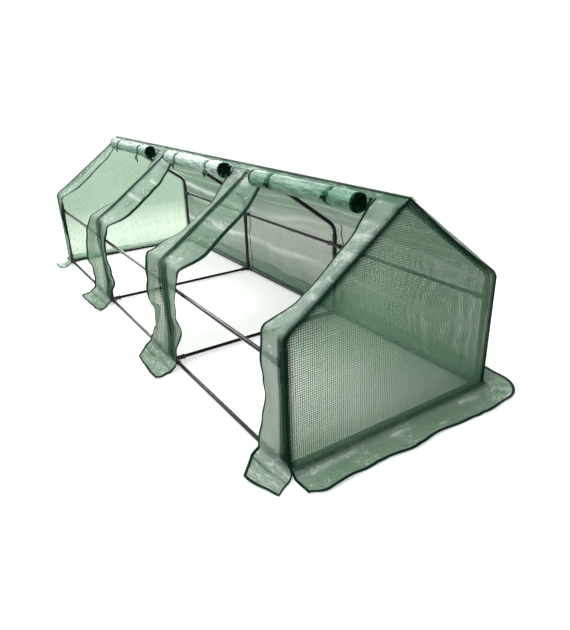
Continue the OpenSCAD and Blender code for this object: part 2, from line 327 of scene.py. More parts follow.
class Bench:
    """Operators that shape the pieces, each on one selected object."""

    @staticmethod
    def pick(piece: Piece) -> None:
        """Selects one object and nothing else.

        Args:
            piece: Object to select.
        """
        bpy.ops.object.select_all(action="DESELECT")
        piece.select_set(True)
        bpy.context.view_layer.objects.active = piece

    @staticmethod
    def apply(piece: Piece, kind: str, **values: object) -> None:
        """Adds a modifier and applies it.

        Args:
            piece: Object to change.
            kind: Modifier type.
            **values: Settings of the modifier.
        """
        Bench.pick(piece)
        modifier = piece.modifiers.new(kind.lower(), kind)
        for name, value in values.items():
            setattr(modifier, name, value)
        bpy.ops.object.modifier_apply(modifier=modifier.name)

    @staticmethod
    def smooth(piece: Piece, degrees: float = 180.0) -> None:
        """Shades a piece smooth.

        Args:
            piece: Object to shade.
            degrees: Steepest angle that is still smoothed over.
        """
        Bench.pick(piece)
        if degrees >= 180.0:
            bpy.ops.object.shade_smooth()
        else:
            bpy.ops.object.shade_smooth_by_angle(angle=math.radians(degrees))

    @staticmethod
    def settle(piece: Piece) -> None:
        """Puts a piece's place, turn and scale into its mesh."""
        Bench.pick(piece)
        bpy.ops.object.transform_apply(location=True, rotation=True, scale=True)

    @staticmethod
    def grid(name: str, u: Array, v: Array, place: Placer) -> Piece:
        """Lays a grid and moves its points to where the sheet lies.

        Args:
            name: Name of the piece.
            u: Grid lines across the flat cut, in metres.
            v: Grid lines along the flat cut, in metres.
            place: Gives the point in the frame for each point of the flat cut.

        Returns:
            The sheet, with the flat cut as its UV map.
        """
        bpy.ops.object.select_all(action="DESELECT")
        columns, rows = len(u) - 1, len(v) - 1
        bpy.ops.mesh.primitive_grid_add(x_subdivisions=columns, y_subdivisions=rows, size=1.0)
        piece = bpy.context.object
        piece.name = name
        piece.data.name = name
        mesh = piece.data
        flat = np.empty(len(mesh.vertices) * 3)
        mesh.vertices.foreach_get("co", flat)
        flat = flat.reshape(-1, 3)
        across = u[np.rint((flat[:, 0] + 0.5) * columns).astype(int)]
        along = v[np.rint((flat[:, 1] + 0.5) * rows).astype(int)]
        mesh.vertices.foreach_set("co", place(across, along).astype(np.float32).ravel())
        corners = np.empty(len(mesh.loops), dtype=np.int32)
        mesh.loops.foreach_get("vertex_index", corners)
        layer = mesh.uv_layers.active or mesh.uv_layers.new()
        layer.name = UV_NAME
        cut = np.stack([across[corners], along[corners]], axis=1)
        layer.data.foreach_set("uv", cut.astype(np.float32).ravel())
        mesh.update()
        Bench.smooth(piece)
        return piece

    @staticmethod
    def mark(piece: Piece, name: str, values: Array) -> None:
        """Stores one number for each vertex."""
        layer = piece.data.attributes.new(name, "FLOAT", "POINT")
        layer.data.foreach_set("value", values.astype(np.float32))

    @staticmethod
    def flat_cut(piece: Piece) -> Array:
        """Reads each vertex's place on the flat cut.

        Args:
            piece: A sheet made by grid.

        Returns:
            U and V for each vertex.
        """
        mesh = piece.data
        corners = np.empty(len(mesh.loops), dtype=np.int32)
        mesh.loops.foreach_get("vertex_index", corners)
        cut = np.empty(len(mesh.loops) * 2, dtype=np.float32)
        mesh.uv_layers[UV_NAME].data.foreach_get("uv", cut)
        result = np.zeros((len(mesh.vertices), 2))
        result[corners] = cut.reshape(-1, 2)
        return result

    @staticmethod
    def cut_out(sheet: Piece, name: str, keep: Keeper) -> Piece:
        """Copies the faces of a sheet that lie in one zone of its flat cut.

        Args:
            sheet: Sheet to copy from.
            name: Name of the new piece.
            keep: Says whether a face with its middle at (u, v) is kept.

        Returns:
            The copied faces as an object of their own.
        """
        Bench.pick(sheet)
        bpy.ops.object.duplicate()
        piece = bpy.context.object
        piece.name = name
        piece.data.name = name
        layer = piece.data.uv_layers[UV_NAME].data
        middles = []
        for polygon in piece.data.polygons:
            spots = [layer[k].uv for k in polygon.loop_indices]
            middles.append((sum(s.x for s in spots) / len(spots), sum(s.y for s in spots) / len(spots)))
        bpy.ops.object.mode_set(mode="EDIT")
        bpy.ops.mesh.select_all(action="DESELECT")
        bpy.ops.object.mode_set(mode="OBJECT")
        for polygon, (u, v) in zip(piece.data.polygons, middles):
            polygon.select = not keep(u, v)
        bpy.ops.object.mode_set(mode="EDIT")
        bpy.ops.mesh.delete(type="FACE")
        bpy.ops.object.mode_set(mode="OBJECT")
        return piece


class NodeBoard:
    """The nodes of a material or a world, with short calls to add and join them."""

    def __init__(self, owner: Union[bpy.types.Material, bpy.types.World]) -> None:
        """Starts with an empty board.

        Args:
            owner: Material or world that the nodes belong to.
        """
        owner.use_nodes = True
        self.owner = owner
        self.tree = owner.node_tree
        self.tree.nodes.clear()

    @classmethod
    def material(cls, name: str) -> NodeBoard:
        """Starts the board of a new material."""
        return cls(bpy.data.materials.new(name))

    def add(self, kind: str, links: Optional[dict] = None, values: Optional[dict] = None,
            **settings: object) -> bpy.types.ShaderNode:
        """Adds a node.

        Args:
            kind: Node type, without its ShaderNode prefix.
            links: Input name or index to the socket that feeds it.
            values: Input name or index to its fixed value.
            **settings: Properties of the node.

        Returns:
            The node.
        """
        node = self.tree.nodes.new("ShaderNode" + kind)
        for name, value in settings.items():
            setattr(node, name, value)
        for key, value in (values or {}).items():
            node.inputs[key].default_value = value
        for key, socket in (links or {}).items():
            self.tree.links.new(socket, node.inputs[key])
        return node

    def math(self, operation: str, first: Feed, second: Optional[Feed] = None,
             third: Optional[Feed] = None) -> Socket:
        """Adds a Math node.

        Args:
            operation: Math operation.
            first: First socket or number.
            second: Second socket or number.
            third: Third socket or number.

        Returns:
            The result's socket.
        """
        links, values = {}, {}
        for index, item in enumerate((first, second, third)):
            if isinstance(item, (int, float)):
                values[index] = float(item)
            elif item is not None:
                links[index] = item
        return self.add("Math", links, values, operation=operation).outputs[0]

    def span(self, socket: Socket, low: float, high: float, to_low: float = 0.0,
             to_high: float = 1.0) -> Socket:
        """Maps one span smoothly to another.

        Args:
            socket: What is mapped.
            low: Start of its span.
            high: End of its span.
            to_low: Result at the start.
            to_high: Result at the end.

        Returns:
            The result's socket.
        """
        names = ("From Min", "From Max", "To Min", "To Max")
        values = dict(zip(names, (low, high, to_low, to_high)))
        node = self.add("MapRange", {"Value": socket}, values, interpolation_type="SMOOTHSTEP")
        return node.outputs["Result"]

    def mix(self, factor: Feed, first: Paint, second: Paint) -> Socket:
        """Mixes two colours.

        Args:
            factor: Socket or number.
            first: Colour or socket at 0.
            second: Colour or socket at 1.

        Returns:
            The mixed colour's socket.
        """
        node = self.add("Mix", data_type="RGBA", clamp_factor=True)
        for index, item in ((0, factor), (6, first), (7, second)):
            if isinstance(item, Socket):
                self.tree.links.new(item, node.inputs[index])
            else:
                node.inputs[index].default_value = item
        return node.outputs[2]

    def noise(self, vector: Socket, scale: float, detail: float = 3.0, roughness: float = 0.5,
              distortion: float = 0.0) -> Socket:
        """Adds a noise texture and returns its value's socket."""
        values = {"Scale": scale, "Detail": detail, "Roughness": roughness, "Distortion": distortion}
        return self.add("TexNoise", {"Vector": vector}, values).outputs["Fac"]

    def flat_cut(self) -> Socket:
        """Places on the sheet's flat cut."""
        return self.add("UVMap", uv_map=UV_NAME).outputs["UV"]

    def stored(self, name: str) -> Socket:
        """The number that is stored for each vertex under a name."""
        return self.add("Attribute", attribute_name=name).outputs["Fac"]

    def stretched(self, vector: Socket, scale: tuple[float, float, float]) -> Socket:
        """The same places, scaled along each axis."""
        return self.add("Mapping", {"Vector": vector}, {"Scale": scale}).outputs["Vector"]

    def bump(self, height: Socket, strength: float, distance: float) -> Socket:
        """A normal that follows a height."""
        values = {"Strength": strength, "Distance": distance}
        return self.add("Bump", {"Height": height}, values).outputs["Normal"]

    def blend(self, factor: Socket, first: Socket, second: Socket) -> Socket:
        """Mixes two shaders, the first at 0 and the second at 1."""
        return self.add("MixShader", {0: factor, 1: first, 2: second}).outputs[0]

    def solid(self, links: dict, values: dict) -> bpy.types.Material:
        """Finishes the material with one principled surface."""
        return self.finish(self.add("BsdfPrincipled", links, values).outputs["BSDF"])

    def finish(self, surface: Socket, output: str = "OutputMaterial") -> bpy.types.ID:
        """Joins the surface to the output and returns the material or world."""
        self.add(output, {"Surface": surface})
        return self.owner


def colour(red: float, green: float, blue: float) -> Colour:
    """A linear colour from display values.

    Args:
        red: Red from 0 to 255.
        green: Green from 0 to 255.
        blue: Blue from 0 to 255.

    Returns:
        The opaque colour.
    """
    parts = [c / 255.0 for c in (red, green, blue)]
    linear = [p / 12.92 if p <= 0.04045 else ((p + 0.055) / 1.055) ** 2.4 for p in parts]
    return (*linear, 1.0)


@dataclass(frozen=True)
class CoverFilm:
    """Milky film with dark green threads woven into it, and a glossy face."""

    name: str = "cover_film"
    film: Colour = (0.055, 0.230, 0.110, 1.0)
    thread: Colour = (0.036, 0.190, 0.088, 1.0)
    # Painted shade mixes the film towards this dark green, and painted glare towards the pale colour below
    # it.
    deep: Colour = (0.003, 0.050, 0.021, 1.0)
    painted_glare: Colour = colour(222, 232, 224)
    milk: Colour = (0.68, 0.78, 0.64, 1.0)
    thread_milk: Colour = (0.10, 0.29, 0.15, 1.0)
    tint: Colour = (0.97, 0.97, 0.92, 1.0)
    pitch: float = 0.008
    thread_half: float = 0.175
    uneven: float = 0.12
    sway: float = 1.1
    window_see: float = 0.90
    thread_see: float = 0.02
    window_glow: float = 0.70
    thread_glow: float = 0.40
    gloss: float = 0.02
    thread_gloss: float = 0.035
    rim: float = 0.16
    rim_power: float = 5.0
    # Strengths of the painted glare and of the white scales, which are painted glints and partly whitening
    # of crushed film.
    pale_white: float = 0.75
    flake_white: float = 0.7
    flake_scale: float = 62.0
    patch_scale: float = 11.0

    def weave(self, board: NodeBoard, cut: Socket) -> Socket:
        """Draws the grid of threads, a little wavy.

        Args:
            board: The material's nodes.
            cut: Socket of the flat cut.

        Returns:
            A socket that is 1 on a thread and 0 in a window.
        """
        parts = board.add("SeparateXYZ", {"Vector": cut}).outputs
        thin, thick = (self.thread_half * (1.0 + sign * self.uneven) for sign in (-1, 1))
        lines = []
        for axis, strength in ((0, 1.0), (1, 0.9)):
            drift = board.math("SUBTRACT", board.noise(cut, 13.0 + 5.0 * axis, 2.0), 0.5)
            place = board.math("MULTIPLY_ADD", drift, self.sway * self.pitch, parts[axis])
            count = board.math("DIVIDE", place, self.pitch)
            number = board.math("ROUND", board.math("ADD", count, 500.0 * axis))
            chance = board.add("TexWhiteNoise", {"W": number}, noise_dimensions="1D").outputs["Value"]
            half = board.span(chance, 0.0, 1.0, thin, thick)
            inside = board.math("SUBTRACT", half, board.math("PINGPONG", count, 0.5))
            lines.append(board.math("MULTIPLY", board.span(inside, -0.04, 0.04), strength))
        return board.math("MAXIMUM", *lines)

    def glint_flakes(self, board: NodeBoard, cut: Socket, crumple: Socket) -> Socket:
        """Draws small white scales in patches where the film is crushed: painted glints, and partly the
        whitening of crushed film.

        Args:
            board: The material's nodes.
            cut: Socket of the flat cut.
            crumple: Socket that says how crushed the film is.

        Returns:
            A socket from 0 to 1.
        """
        spread = board.stretched(cut, (0.45, 1.5, 1.0))
        scales = board.span(board.noise(spread, self.flake_scale, 3.0, 0.6, 1.4), 0.48, 0.66)
        patches = board.noise(cut, self.patch_scale, 3.0, 0.55, 0.4)
        over = board.math("SUBTRACT", board.math("MULTIPLY_ADD", crumple, 0.27, patches), 0.70)
        reach = board.span(over, -0.03, 0.08)
        return board.math("MULTIPLY", scales, reach)

    def make(self) -> bpy.types.Material:
        """Builds the material.

        Returns:
            The film's material.
        """
        board = NodeBoard.material(self.name)
        cut = board.flat_cut()
        pale, crumple, painted_shade = (board.stored(name) for name in (PALE, CRINKLE, PAINTED_SHADE))
        threads = self.weave(board, cut)
        clouds = board.noise(cut, 7.0, 4.0, 0.6)
        glint_flakes = board.math("MULTIPLY", self.glint_flakes(board, cut, crumple), self.flake_white)
        # Painted glare, and the scales of painted glints and whitening, lighten the film towards the pale
        # colour.
        whiter = board.math("MULTIPLY_ADD", pale, self.pale_white, glint_flakes)
        base = board.mix(whiter, board.mix(threads, self.film, self.thread), self.painted_glare)
        # Painted shade darkens the film towards deep green, on its face and in its glow.
        base = board.mix(painted_shade, base, self.deep)
        lit = board.mix(whiter, board.mix(threads, self.milk, self.thread_milk), self.painted_glare)
        lit = board.mix(painted_shade, lit, self.deep)
        bump = self.relief(board, cut, crumple, threads)
        skin = board.add("BsdfDiffuse", {"Color": base, "Normal": bump}).outputs["BSDF"]
        inner = board.add("BsdfTranslucent", {"Color": lit, "Normal": bump}).outputs["BSDF"]
        glow = board.span(threads, 0.0, 1.0, self.window_glow, self.thread_glow)
        body = board.blend(glow, skin, inner)
        facing = board.add("LayerWeight", {"Normal": bump}, {"Blend": 0.5}).outputs["Facing"]
        see = board.span(threads, 0.0, 1.0, self.window_see, self.thread_see)
        # Less shows through where the film is lightened, at grazing angles, and under painted shade.
        see = board.math("MULTIPLY", see, board.math("SUBTRACT", 1.0, board.math("MINIMUM", whiter, 0.9)))
        see = board.math("MULTIPLY", see, board.span(facing, 0.2, 1.0, 1.0, 0.25))
        see = board.math("MULTIPLY", see, board.math("MULTIPLY_ADD", painted_shade, -0.7, 1.0))
        clear = board.add("BsdfTransparent", values={"Color": self.tint}).outputs["BSDF"]
        body = board.blend(see, body, clear)
        rough = board.span(clouds, 0.3, 0.7, 0.14, 0.30)
        shine = board.add("BsdfGlossy", {"Roughness": rough, "Normal": bump}).outputs["BSDF"]
        least = board.span(threads, 0.0, 1.0, self.gloss, self.thread_gloss)
        rim = board.math("MULTIPLY_ADD", board.math("POWER", facing, self.rim_power), self.rim, least)
        # Painted shade also dulls the gloss.
        rim = board.math("MULTIPLY", rim, board.math("MULTIPLY_ADD", painted_shade, -0.9, 1.0))
        return board.finish(board.blend(rim, body, shine))

    @staticmethod
    def relief(board: NodeBoard, cut: Socket, crumple: Socket, threads: Socket) -> Socket:
        """Raises the threads and crushes the film where it has been folded.

        Args:
            board: The material's nodes.
            cut: Socket of the flat cut.
            crumple: Socket that says how crushed the film is.
            threads: Socket of the weave.

        Returns:
            Socket of the bumped normal.
        """
        cells = {"Scale": 85.0, "Randomness": 1.0}
        facets = board.add("TexVoronoi", {"Vector": cut}, cells, feature="F1").outputs["Distance"]
        folds = board.noise(cut, 30.0, 4.0, 0.6, 1.2)
        crush = board.math("MULTIPLY", board.math("MULTIPLY_ADD", folds, 2.0, facets), crumple)
        height = board.math("MULTIPLY_ADD", threads, 0.30, board.math("MULTIPLY", crush, 2.4))
        return board.bump(height, 0.6, 0.0022)


@dataclass(frozen=True)
class RolledFilm:
    """Many turns of the film, so close that nothing shows through."""

    name: str = "rolled_film"
    film: Colour = colour(58, 148, 102)
    # Colour of the darker streaks and of painted shade.
    deep: Colour = colour(10, 72, 44)
    # Colour that the painted glare and highlights mix in.
    painted_glare: Colour = colour(206, 220, 211)
    streak_scale: float = 2.3
    fold_scale: float = 60.0
    ior: float = 1.4

    def make(self) -> bpy.types.Material:
        """Builds the material.

        Returns:
            The rolled film's material.
        """
        board = NodeBoard.material(self.name)
        cut = board.flat_cut()
        pale, crumple, painted_shade = (board.stored(name) for name in (PALE, CRINKLE, PAINTED_SHADE))
        streaks = board.noise(board.stretched(cut, (5.0, 34.0, 1.0)), self.streak_scale, 4.0, 0.62, 0.8)
        folds = board.noise(cut, self.fold_scale, 4.0, 0.6, 1.0)
        # Darker and lighter streaks along the roll.
        base = board.mix(board.span(streaks, 0.3, 0.7), self.deep, self.film)
        # Painted highlights on the folds, and painted glare along the lighter streaks, where the roll is
        # marked pale.
        shine = board.math("MULTIPLY", board.span(folds, 0.5, 0.7), board.math("ADD", pale, 0.12))
        lighter = board.math("MULTIPLY", pale, board.span(streaks, 0.36, 0.56, 0.35, 1.25))
        base = board.mix(board.math("MULTIPLY_ADD", lighter, 0.62, shine), base, self.painted_glare)
        # Painted shade over the whole roll.
        base = board.mix(painted_shade, base, self.deep)
        crush = board.math("MULTIPLY", folds, board.math("MULTIPLY_ADD", crumple, 1.6, 0.25))
        bump = board.bump(board.math("MULTIPLY_ADD", streaks, 1.8, crush), 0.8, 0.003)
        rough = board.span(folds, 0.3, 0.7, 0.38, 0.55)
        return board.solid({"Base Color": base, "Normal": bump, "Roughness": rough}, {"IOR": self.ior})


@dataclass(frozen=True)
class BindingTape:
    """Dark green tape sewn over the edges, with a row of stitches."""

    name: str = "binding_tape"
    tape: Colour = colour(3, 34, 20)
    worn: Colour = colour(12, 56, 36)
    stitch: float = 0.0045
    rough: float = 0.7
    ior: float = 1.15

    def make(self) -> bpy.types.Material:
        """Builds the material.

        Returns:
            The tape's material.
        """
        board = NodeBoard.material(self.name)
        place = board.add("TexCoord").outputs["Object"]
        weave = board.noise(place, 900.0, 2.0, 0.5)
        wear = board.noise(place, 28.0, 4.0, 0.6)
        base = board.mix(board.span(wear, 0.5, 0.8, 0.0, 0.75), self.tape, self.worn)
        base = board.mix(board.span(weave, 0.35, 0.65, 0.0, 0.25), base, self.worn)
        cells = board.math("DIVIDE", board.add("SeparateXYZ", {"Vector": place}).outputs[0], self.stitch)
        stitches = board.span(board.math("PINGPONG", cells, 0.5), 0.16, 0.24)
        bump = board.bump(board.math("ADD", board.math("MULTIPLY", stitches, 0.4), weave), 0.4, 0.0008)
        return board.solid({"Base Color": base, "Normal": bump}, {"Roughness": self.rough, "IOR": self.ior})


@dataclass(frozen=True)
class PowderCoat:
    """Satin black coating on steel tube, rubbed grey in places."""

    name: str = "powder_coat"
    coat: Colour = colour(6, 6, 7)
    rubbed: Colour = colour(28, 28, 29)
    ior: float = 1.34

    def make(self) -> bpy.types.Material:
        """Builds the material.

        Returns:
            The coating's material.
        """
        board = NodeBoard.material(self.name)
        place = board.add("TexCoord").outputs["Object"]
        grain = board.noise(place, 1400.0, 2.0, 0.5)
        scuffs = board.noise(place, 22.0, 6.0, 0.7)
        base = board.mix(board.span(scuffs, 0.58, 0.8, 0.0, 0.7), self.coat, self.rubbed)
        rough = board.span(scuffs, 0.3, 0.75, 0.10, 0.22)
        bump = board.bump(grain, 0.25, 0.0004)
        return board.solid({"Base Color": base, "Normal": bump, "Roughness": rough}, {"IOR": self.ior})


@dataclass(frozen=True)
class MouldedPlastic:
    """Black moulded plastic of the connectors."""

    name: str = "moulded_plastic"
    body: Colour = colour(9, 10, 10)
    dusty: Colour = colour(32, 34, 33)
    rough: float = 0.48
    ior: float = 1.48

    def make(self) -> bpy.types.Material:
        """Builds the material.

        Returns:
            The plastic's material.
        """
        board = NodeBoard.material(self.name)
        place = board.add("TexCoord").outputs["Object"]
        grain = board.noise(place, 700.0, 3.0, 0.6)
        dust = board.noise(place, 35.0, 4.0, 0.6)
        base = board.mix(board.span(dust, 0.5, 0.8, 0.0, 0.6), self.body, self.dusty)
        bump = board.bump(grain, 0.3, 0.0005)
        return board.solid({"Base Color": base, "Normal": bump}, {"Roughness": self.rough, "IOR": self.ior})


@dataclass
class Finishes:
    """The materials of all the pieces."""

    film: bpy.types.Material
    roll: bpy.types.Material
    tape: bpy.types.Material
    strap: bpy.types.Material
    coat: bpy.types.Material
    plastic: bpy.types.Material

    @classmethod
    def mixed(cls) -> Finishes:
        """Makes every material once.

        Returns:
            The materials.
        """
        return cls(
            CoverFilm().make(),
            RolledFilm().make(),
            BindingTape().make(),
            BindingTape("tie_tape", colour(46, 92, 68), colour(92, 140, 112)).make(),
            PowderCoat().make(),
            MouldedPlastic().make(),
        )


def dress(piece: Piece, material: bpy.types.Material, slot: Slot, *nodes: str) -> Piece:
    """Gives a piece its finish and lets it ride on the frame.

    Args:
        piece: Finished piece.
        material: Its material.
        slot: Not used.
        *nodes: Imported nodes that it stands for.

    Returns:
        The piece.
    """
    piece.data.materials.clear()
    piece.data.materials.append(material)
    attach(piece, BODY)
    if nodes:
        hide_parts(*nodes)
    LOG.info("made %s with %d faces", piece.name, len(piece.data.polygons))
    return piece


def bind(sheet: Piece, name: str, tape: bpy.types.Material, thick: float, keep: Keeper) -> Piece:
    """Sews a binding tape over part of a sheet.

    Args:
        sheet: Sheet that carries the tape.
        name: Name of the tape.
        tape: Material of the tape.
        thick: Thickness of the tape round the film.
        keep: Says whether the tape covers the point (u, v) of the flat cut.

    Returns:
        The tape.
    """
    piece = Bench.cut_out(sheet, name, keep)
    Bench.apply(piece, "SOLIDIFY", thickness=thick, offset=0.0, use_even_offset=False)
    Bench.smooth(piece, 50.0)
    return dress(piece, tape, Slot.TRIM)


@dataclass
class Cover:
    """What every sheet of the cover shares."""

    sizes: TunnelSizes
    finishes: Finishes
    binding_w: float = 0.010
    binding_t: float = 0.0026

    def marked(self, sheet: Piece, pale: Array, crinkle: Array, painted_shade: Array) -> Piece:
        """Stores what the film's finish needs to know at each vertex.

        Args:
            sheet: Sheet to mark.
            pale: How much painted glare and glints lighten it, with some tone that varies at random.
            crinkle: How crushed it is.
            painted_shade: How much painted shade darkens it.

        Returns:
            The sheet.
        """
        for name, values in ((PALE, pale), (CRINKLE, crinkle), (PAINTED_SHADE, painted_shade)):
            Bench.mark(sheet, name, np.clip(values, 0.0, 1.0))
        return sheet


@dataclass
class EndPanel(Cover):
    """A gable end of taut film, bound along its outline.

    Attributes:
        side: 1 for the right end and -1 for the left one.
    """

    side: int = 1
    node: str = "right_end_panel"
    bulge: float = 0.006
    # Painted glare over the whole panel.
    painted_glare: float = 0.02
    lift: float = 0.014
    roof_sag: float = 0.012
    eave_drop: float = 0.012
    foot: float = 0.006
    edge: float = 0.006
    hollow: float = 0.007
    film_half: float = 0.0007
    low_row: float = 0.015
    top_row: float = 0.990

    def roof(self, y: Array) -> Array:
        """Height of the panel's top edge.

        Args:
            y: Places across the panel.

        Returns:
            The height at each place.
        """
        sizes = self.sizes
        flat = sizes.ridge_z + self.lift / math.cos(sizes.slope) - np.abs(y) * math.tan(sizes.slope)
        reach = np.abs(y) / (sizes.half_w + sizes.film)
        slack = self.roof_sag * np.sin(math.pi * reach) * np.where(y > 0.0, 1.0, 0.35)
        return flat - slack - self.eave_drop * ease(0.95, 1.0, reach)

    def build(self) -> Piece:
        """Makes the panel and its binding.

        Returns:
            The panel.
        """
        sizes, sign = self.sizes, self.side
        half = sizes.half_w + sizes.film
        columns = ticks(2 * half, self.edge, self.edge, 0.008) - half
        rows = np.concatenate([[0.0], np.linspace(self.low_row, self.top_row, 74), [1.0]])
        noise = FoldNoise(11 + sign, 0.17)
        small = FoldNoise(31 + sign, 0.05)

        def spot(u: Array, v: Array) -> tuple[Array, Array]:
            """Y and Z of a grid point."""
            return u, self.foot + v * (self.roof(u) - self.foot)

        def place(u: Array, v: Array) -> Array:
            """Finds the panel's points.

            Args:
                u: Places across the panel.
                v: Shares of its height.

            Returns:
                A point in the frame for each.
            """
            y, z = spot(u, v)
            inner = np.sin(math.pi * np.clip(v, 0, 1)) * np.cos(0.5 * math.pi * u / half)
            out = self.bulge * inner * noise.at(y, z) + 0.0015 * inner * small.at(y, z)
            out = out - self.hollow * inner
            x = sign * (sizes.end_x + self.film_half + out)
            return np.stack([x, y, z], axis=1)

        panel = Bench.grid(f"{self.node}_film", columns, rows, place)
        cut = Bench.flat_cut(panel)
        y, z = spot(cut[:, 0], cut[:, 1])
        # Painted shade along the outline where the tubes lie behind the panel, at the foot over the base
        # rail, and over the upper part of the right panel.
        inset = np.minimum(self.roof(y) - z, half - np.abs(y))
        at_edge = 0.6 * ease(0.034, 0.020, inset) + 0.35 * ease(0.020, 0.014, inset)
        touch = np.maximum(at_edge, 0.5 * ease(0.034, 0.022, z))
        touch = np.maximum(touch, 0.12 * ease(0.34, 0.50, z) * (sign > 0))
        self.marked(panel, self.painted_glare + 0.04 * noise.at(y, z), 0.02 + 0.1 * ease(0.12, 0.02, z), touch)
        tape = bind(
            panel, f"{self.node}_binding", self.finishes.tape, self.binding_t,
            lambda u, v: abs(u) > half - self.edge or v > self.top_row + 0.0005,
        )
        self.use_metres(panel)
        dress(panel, self.finishes.film, Slot.FILM, self.node)
        return panel

    def use_metres(self, panel: Piece) -> None:
        """Turns the flat cut's V from a share of the height into metres.

        Args:
            panel: The panel to change.
        """
        mesh = panel.data
        corners = np.empty(len(mesh.loops), dtype=np.int32)
        mesh.loops.foreach_get("vertex_index", corners)
        points = np.empty(len(mesh.vertices) * 3)
        mesh.vertices.foreach_get("co", points)
        cut = points.reshape(-1, 3)[corners][:, 1:]
        mesh.uv_layers[UV_NAME].data.foreach_set("uv", cut.astype(np.float32).ravel())


@dataclass
class BackCover(Cover):
    """The film over the back slope and the back wall."""

    PURLIN_CREASES = ((-0.060, 0.9), (-0.005, 0.45), (0.152, 1.0))
    SLOPE_CREASES = ((0.16, 0.4), (0.33, 0.5), (0.47, 0.6))
    SEAMS = ((2, 0.034), (3, 0.041))

    node: str = "back_cover"
    lift: float = 0.014
    eave_r: float = 0.039
    slope_sag: float = 0.016
    wall_sag: float = 0.010
    foot_gap: float = 0.004
    ripple: float = 0.004
    crease_rise: float = 0.006
    crease_half: float = 0.015
    seam_w: float = 0.005
    seam_t: float = 0.0016

    def build(self) -> Piece:
        """Makes the cover, its foot binding and its seam tapes.

        Returns:
            The cover.
        """
        sizes = self.sizes
        line = FilmLine(sizes, self.lift, self.eave_r, 0.0, 0.0)
        length = line.length - self.foot_gap
        across = np.linspace(-sizes.end_x, sizes.end_x, 231)
        along = ticks(length, 0.0, self.binding_w, 0.011)
        pitch = sizes.hoop(2) - sizes.hoop(1)
        long_folds = FoldNoise(5, 0.35)
        folds = FoldNoise(6, 0.09)
        purlin_s = line.wall_s + (float(line.at(np.array([line.wall_s]))[1][0]) - sizes.purlin_z)
        packed = [(purlin_s + off, top) for off, top in self.PURLIN_CREASES] + list(self.SLOPE_CREASES)

        def creases(u: Array, v: Array) -> Array:
            """Finds the level fold lines left from packing.

            Args:
                u: Places along the tunnel.
                v: Places down the film from the ridge.

            Returns:
                How sharp the folds are there, from 0 up.
            """
            drift = 0.03 * long_folds.at(u, 0.0 * v) + 0.006 * folds.at(u, v)
            total = 0.0 * u
            for number, (row, top) in enumerate(packed):
                tilt = 0.02 * wave(u, 1.9, 0.17 * number)
                total = total + top * bell(row, self.crease_half, v + drift + tilt)
            return total * (0.55 + 0.45 * long_folds.at(u + 3.0, v))

        def inward(u: Array, v: Array) -> Array:
            """Finds how far the film hangs in from its line.

            Args:
                u: Places along the tunnel.
                v: Places down the film from the ridge.

            Returns:
                The depth at each place.
            """
            bay = 0.5 - 0.5 * np.cos(2 * math.pi * (u - sizes.hoop(1)) / pitch)
            bay = np.where(np.abs(u) > sizes.hoop(4), 0.0, bay)
            slope = np.sin(math.pi * np.clip(v / line.eave_s, 0.0, 1.0))
            low = np.sin(math.pi * np.clip((v - purlin_s) / (length - purlin_s), 0.0, 1.0))
            slack = self.slope_sag * slope * bay + self.wall_sag * low * (0.4 + 0.6 * bay)
            ripple = self.ripple * folds.at(u, v) * (slope + low) * (0.3 + 0.7 * bay)
            return slack + ripple - self.crease_rise * creases(u, v) * (0.2 + 0.8 * bay)

        def place(u: Array, v: Array) -> Array:
            """Finds the cover's points.

            Args:
                u: Places along the tunnel.
                v: Places down the film from the ridge.

            Returns:
                A point in the frame for each.
            """
            y, z, ny, nz = line.at(v)
            depth = inward(u, v)
            return np.stack([u, -(y - ny * depth), z - nz * depth], axis=1)

        cover = Bench.grid(f"{self.node}_film", across, along, place)
        cut = Bench.flat_cut(cover)
        u, v = cut[:, 0], cut[:, 1]
        # Painted highlight along the creases, and painted shade over the rest of the cover, darker at the
        # foot over the base rail.
        soft = creases(u, v)
        low_rail = ease(length - 0.034, length - 0.022, v)
        shade = (0.50 + 0.15 * low_rail) * np.clip(1.0 - 1.6 * soft, 0.0, 1.0)
        self.marked(cover, 0.02 + 1.4 * soft, 0.18 + 0.4 * soft, shade)
        tape = bind(
            cover, "back_cover_binding", self.finishes.tape, self.binding_t,
            lambda u, v: v > length - self.binding_w,
        )
        seams = self.seams(line, place)
        dress(cover, self.finishes.film, Slot.FILM, self.node)
        return cover

    def seams(self, line: FilmLine, place: Placer) -> list[Piece]:
        """Makes the narrow tapes sewn down the wall beside the middle hoops.

        Args:
            line: The film's line.
            place: The cover's own placer.

        Returns:
            The tapes.
        """
        made = []
        for number, beside in self.SEAMS:
            start = self.sizes.hoop(number) + beside

            def stray(u: Array, v: Array) -> Array:
                """Finds the tape's points, on the cover's inner face.

                Args:
                    u: Places across the tape.
                    v: Places down the film from the ridge.

                Returns:
                    A point in the frame for each.
                """
                x = start + u + 0.006 * wave(v, 0.23, 0.1 * number) + 0.004 * wave(v, 0.09)
                point = place(x, v)
                point[:, 1] -= self.seam_t
                return point

            across = np.array([0.0, self.seam_w / 2, self.seam_w])
            along = np.linspace(line.wall_s - 0.03, line.length - 0.02, 90)
            tape = Bench.grid(f"back_seam_{number}", across, along, stray)
            Bench.apply(tape, "SOLIDIFY", thickness=self.seam_t, offset=0.0)
            made.append(dress(tape, self.finishes.tape, Slot.TRIM))
        return made


@dataclass(frozen=True)
class Wing:
    """How one edge of a strip hangs below the eave, and where its flap ends.

    Attributes:
        out: Heights above the ground, each with how far the edge stands out there.
        foot: Place of the edge at the ground, along the tunnel from the hoop.
        tip: Place of the flap's corner: along the tunnel from the hoop, and across from its middle.
    """

    out: Points
    foot: float
    tip: tuple[float, float]


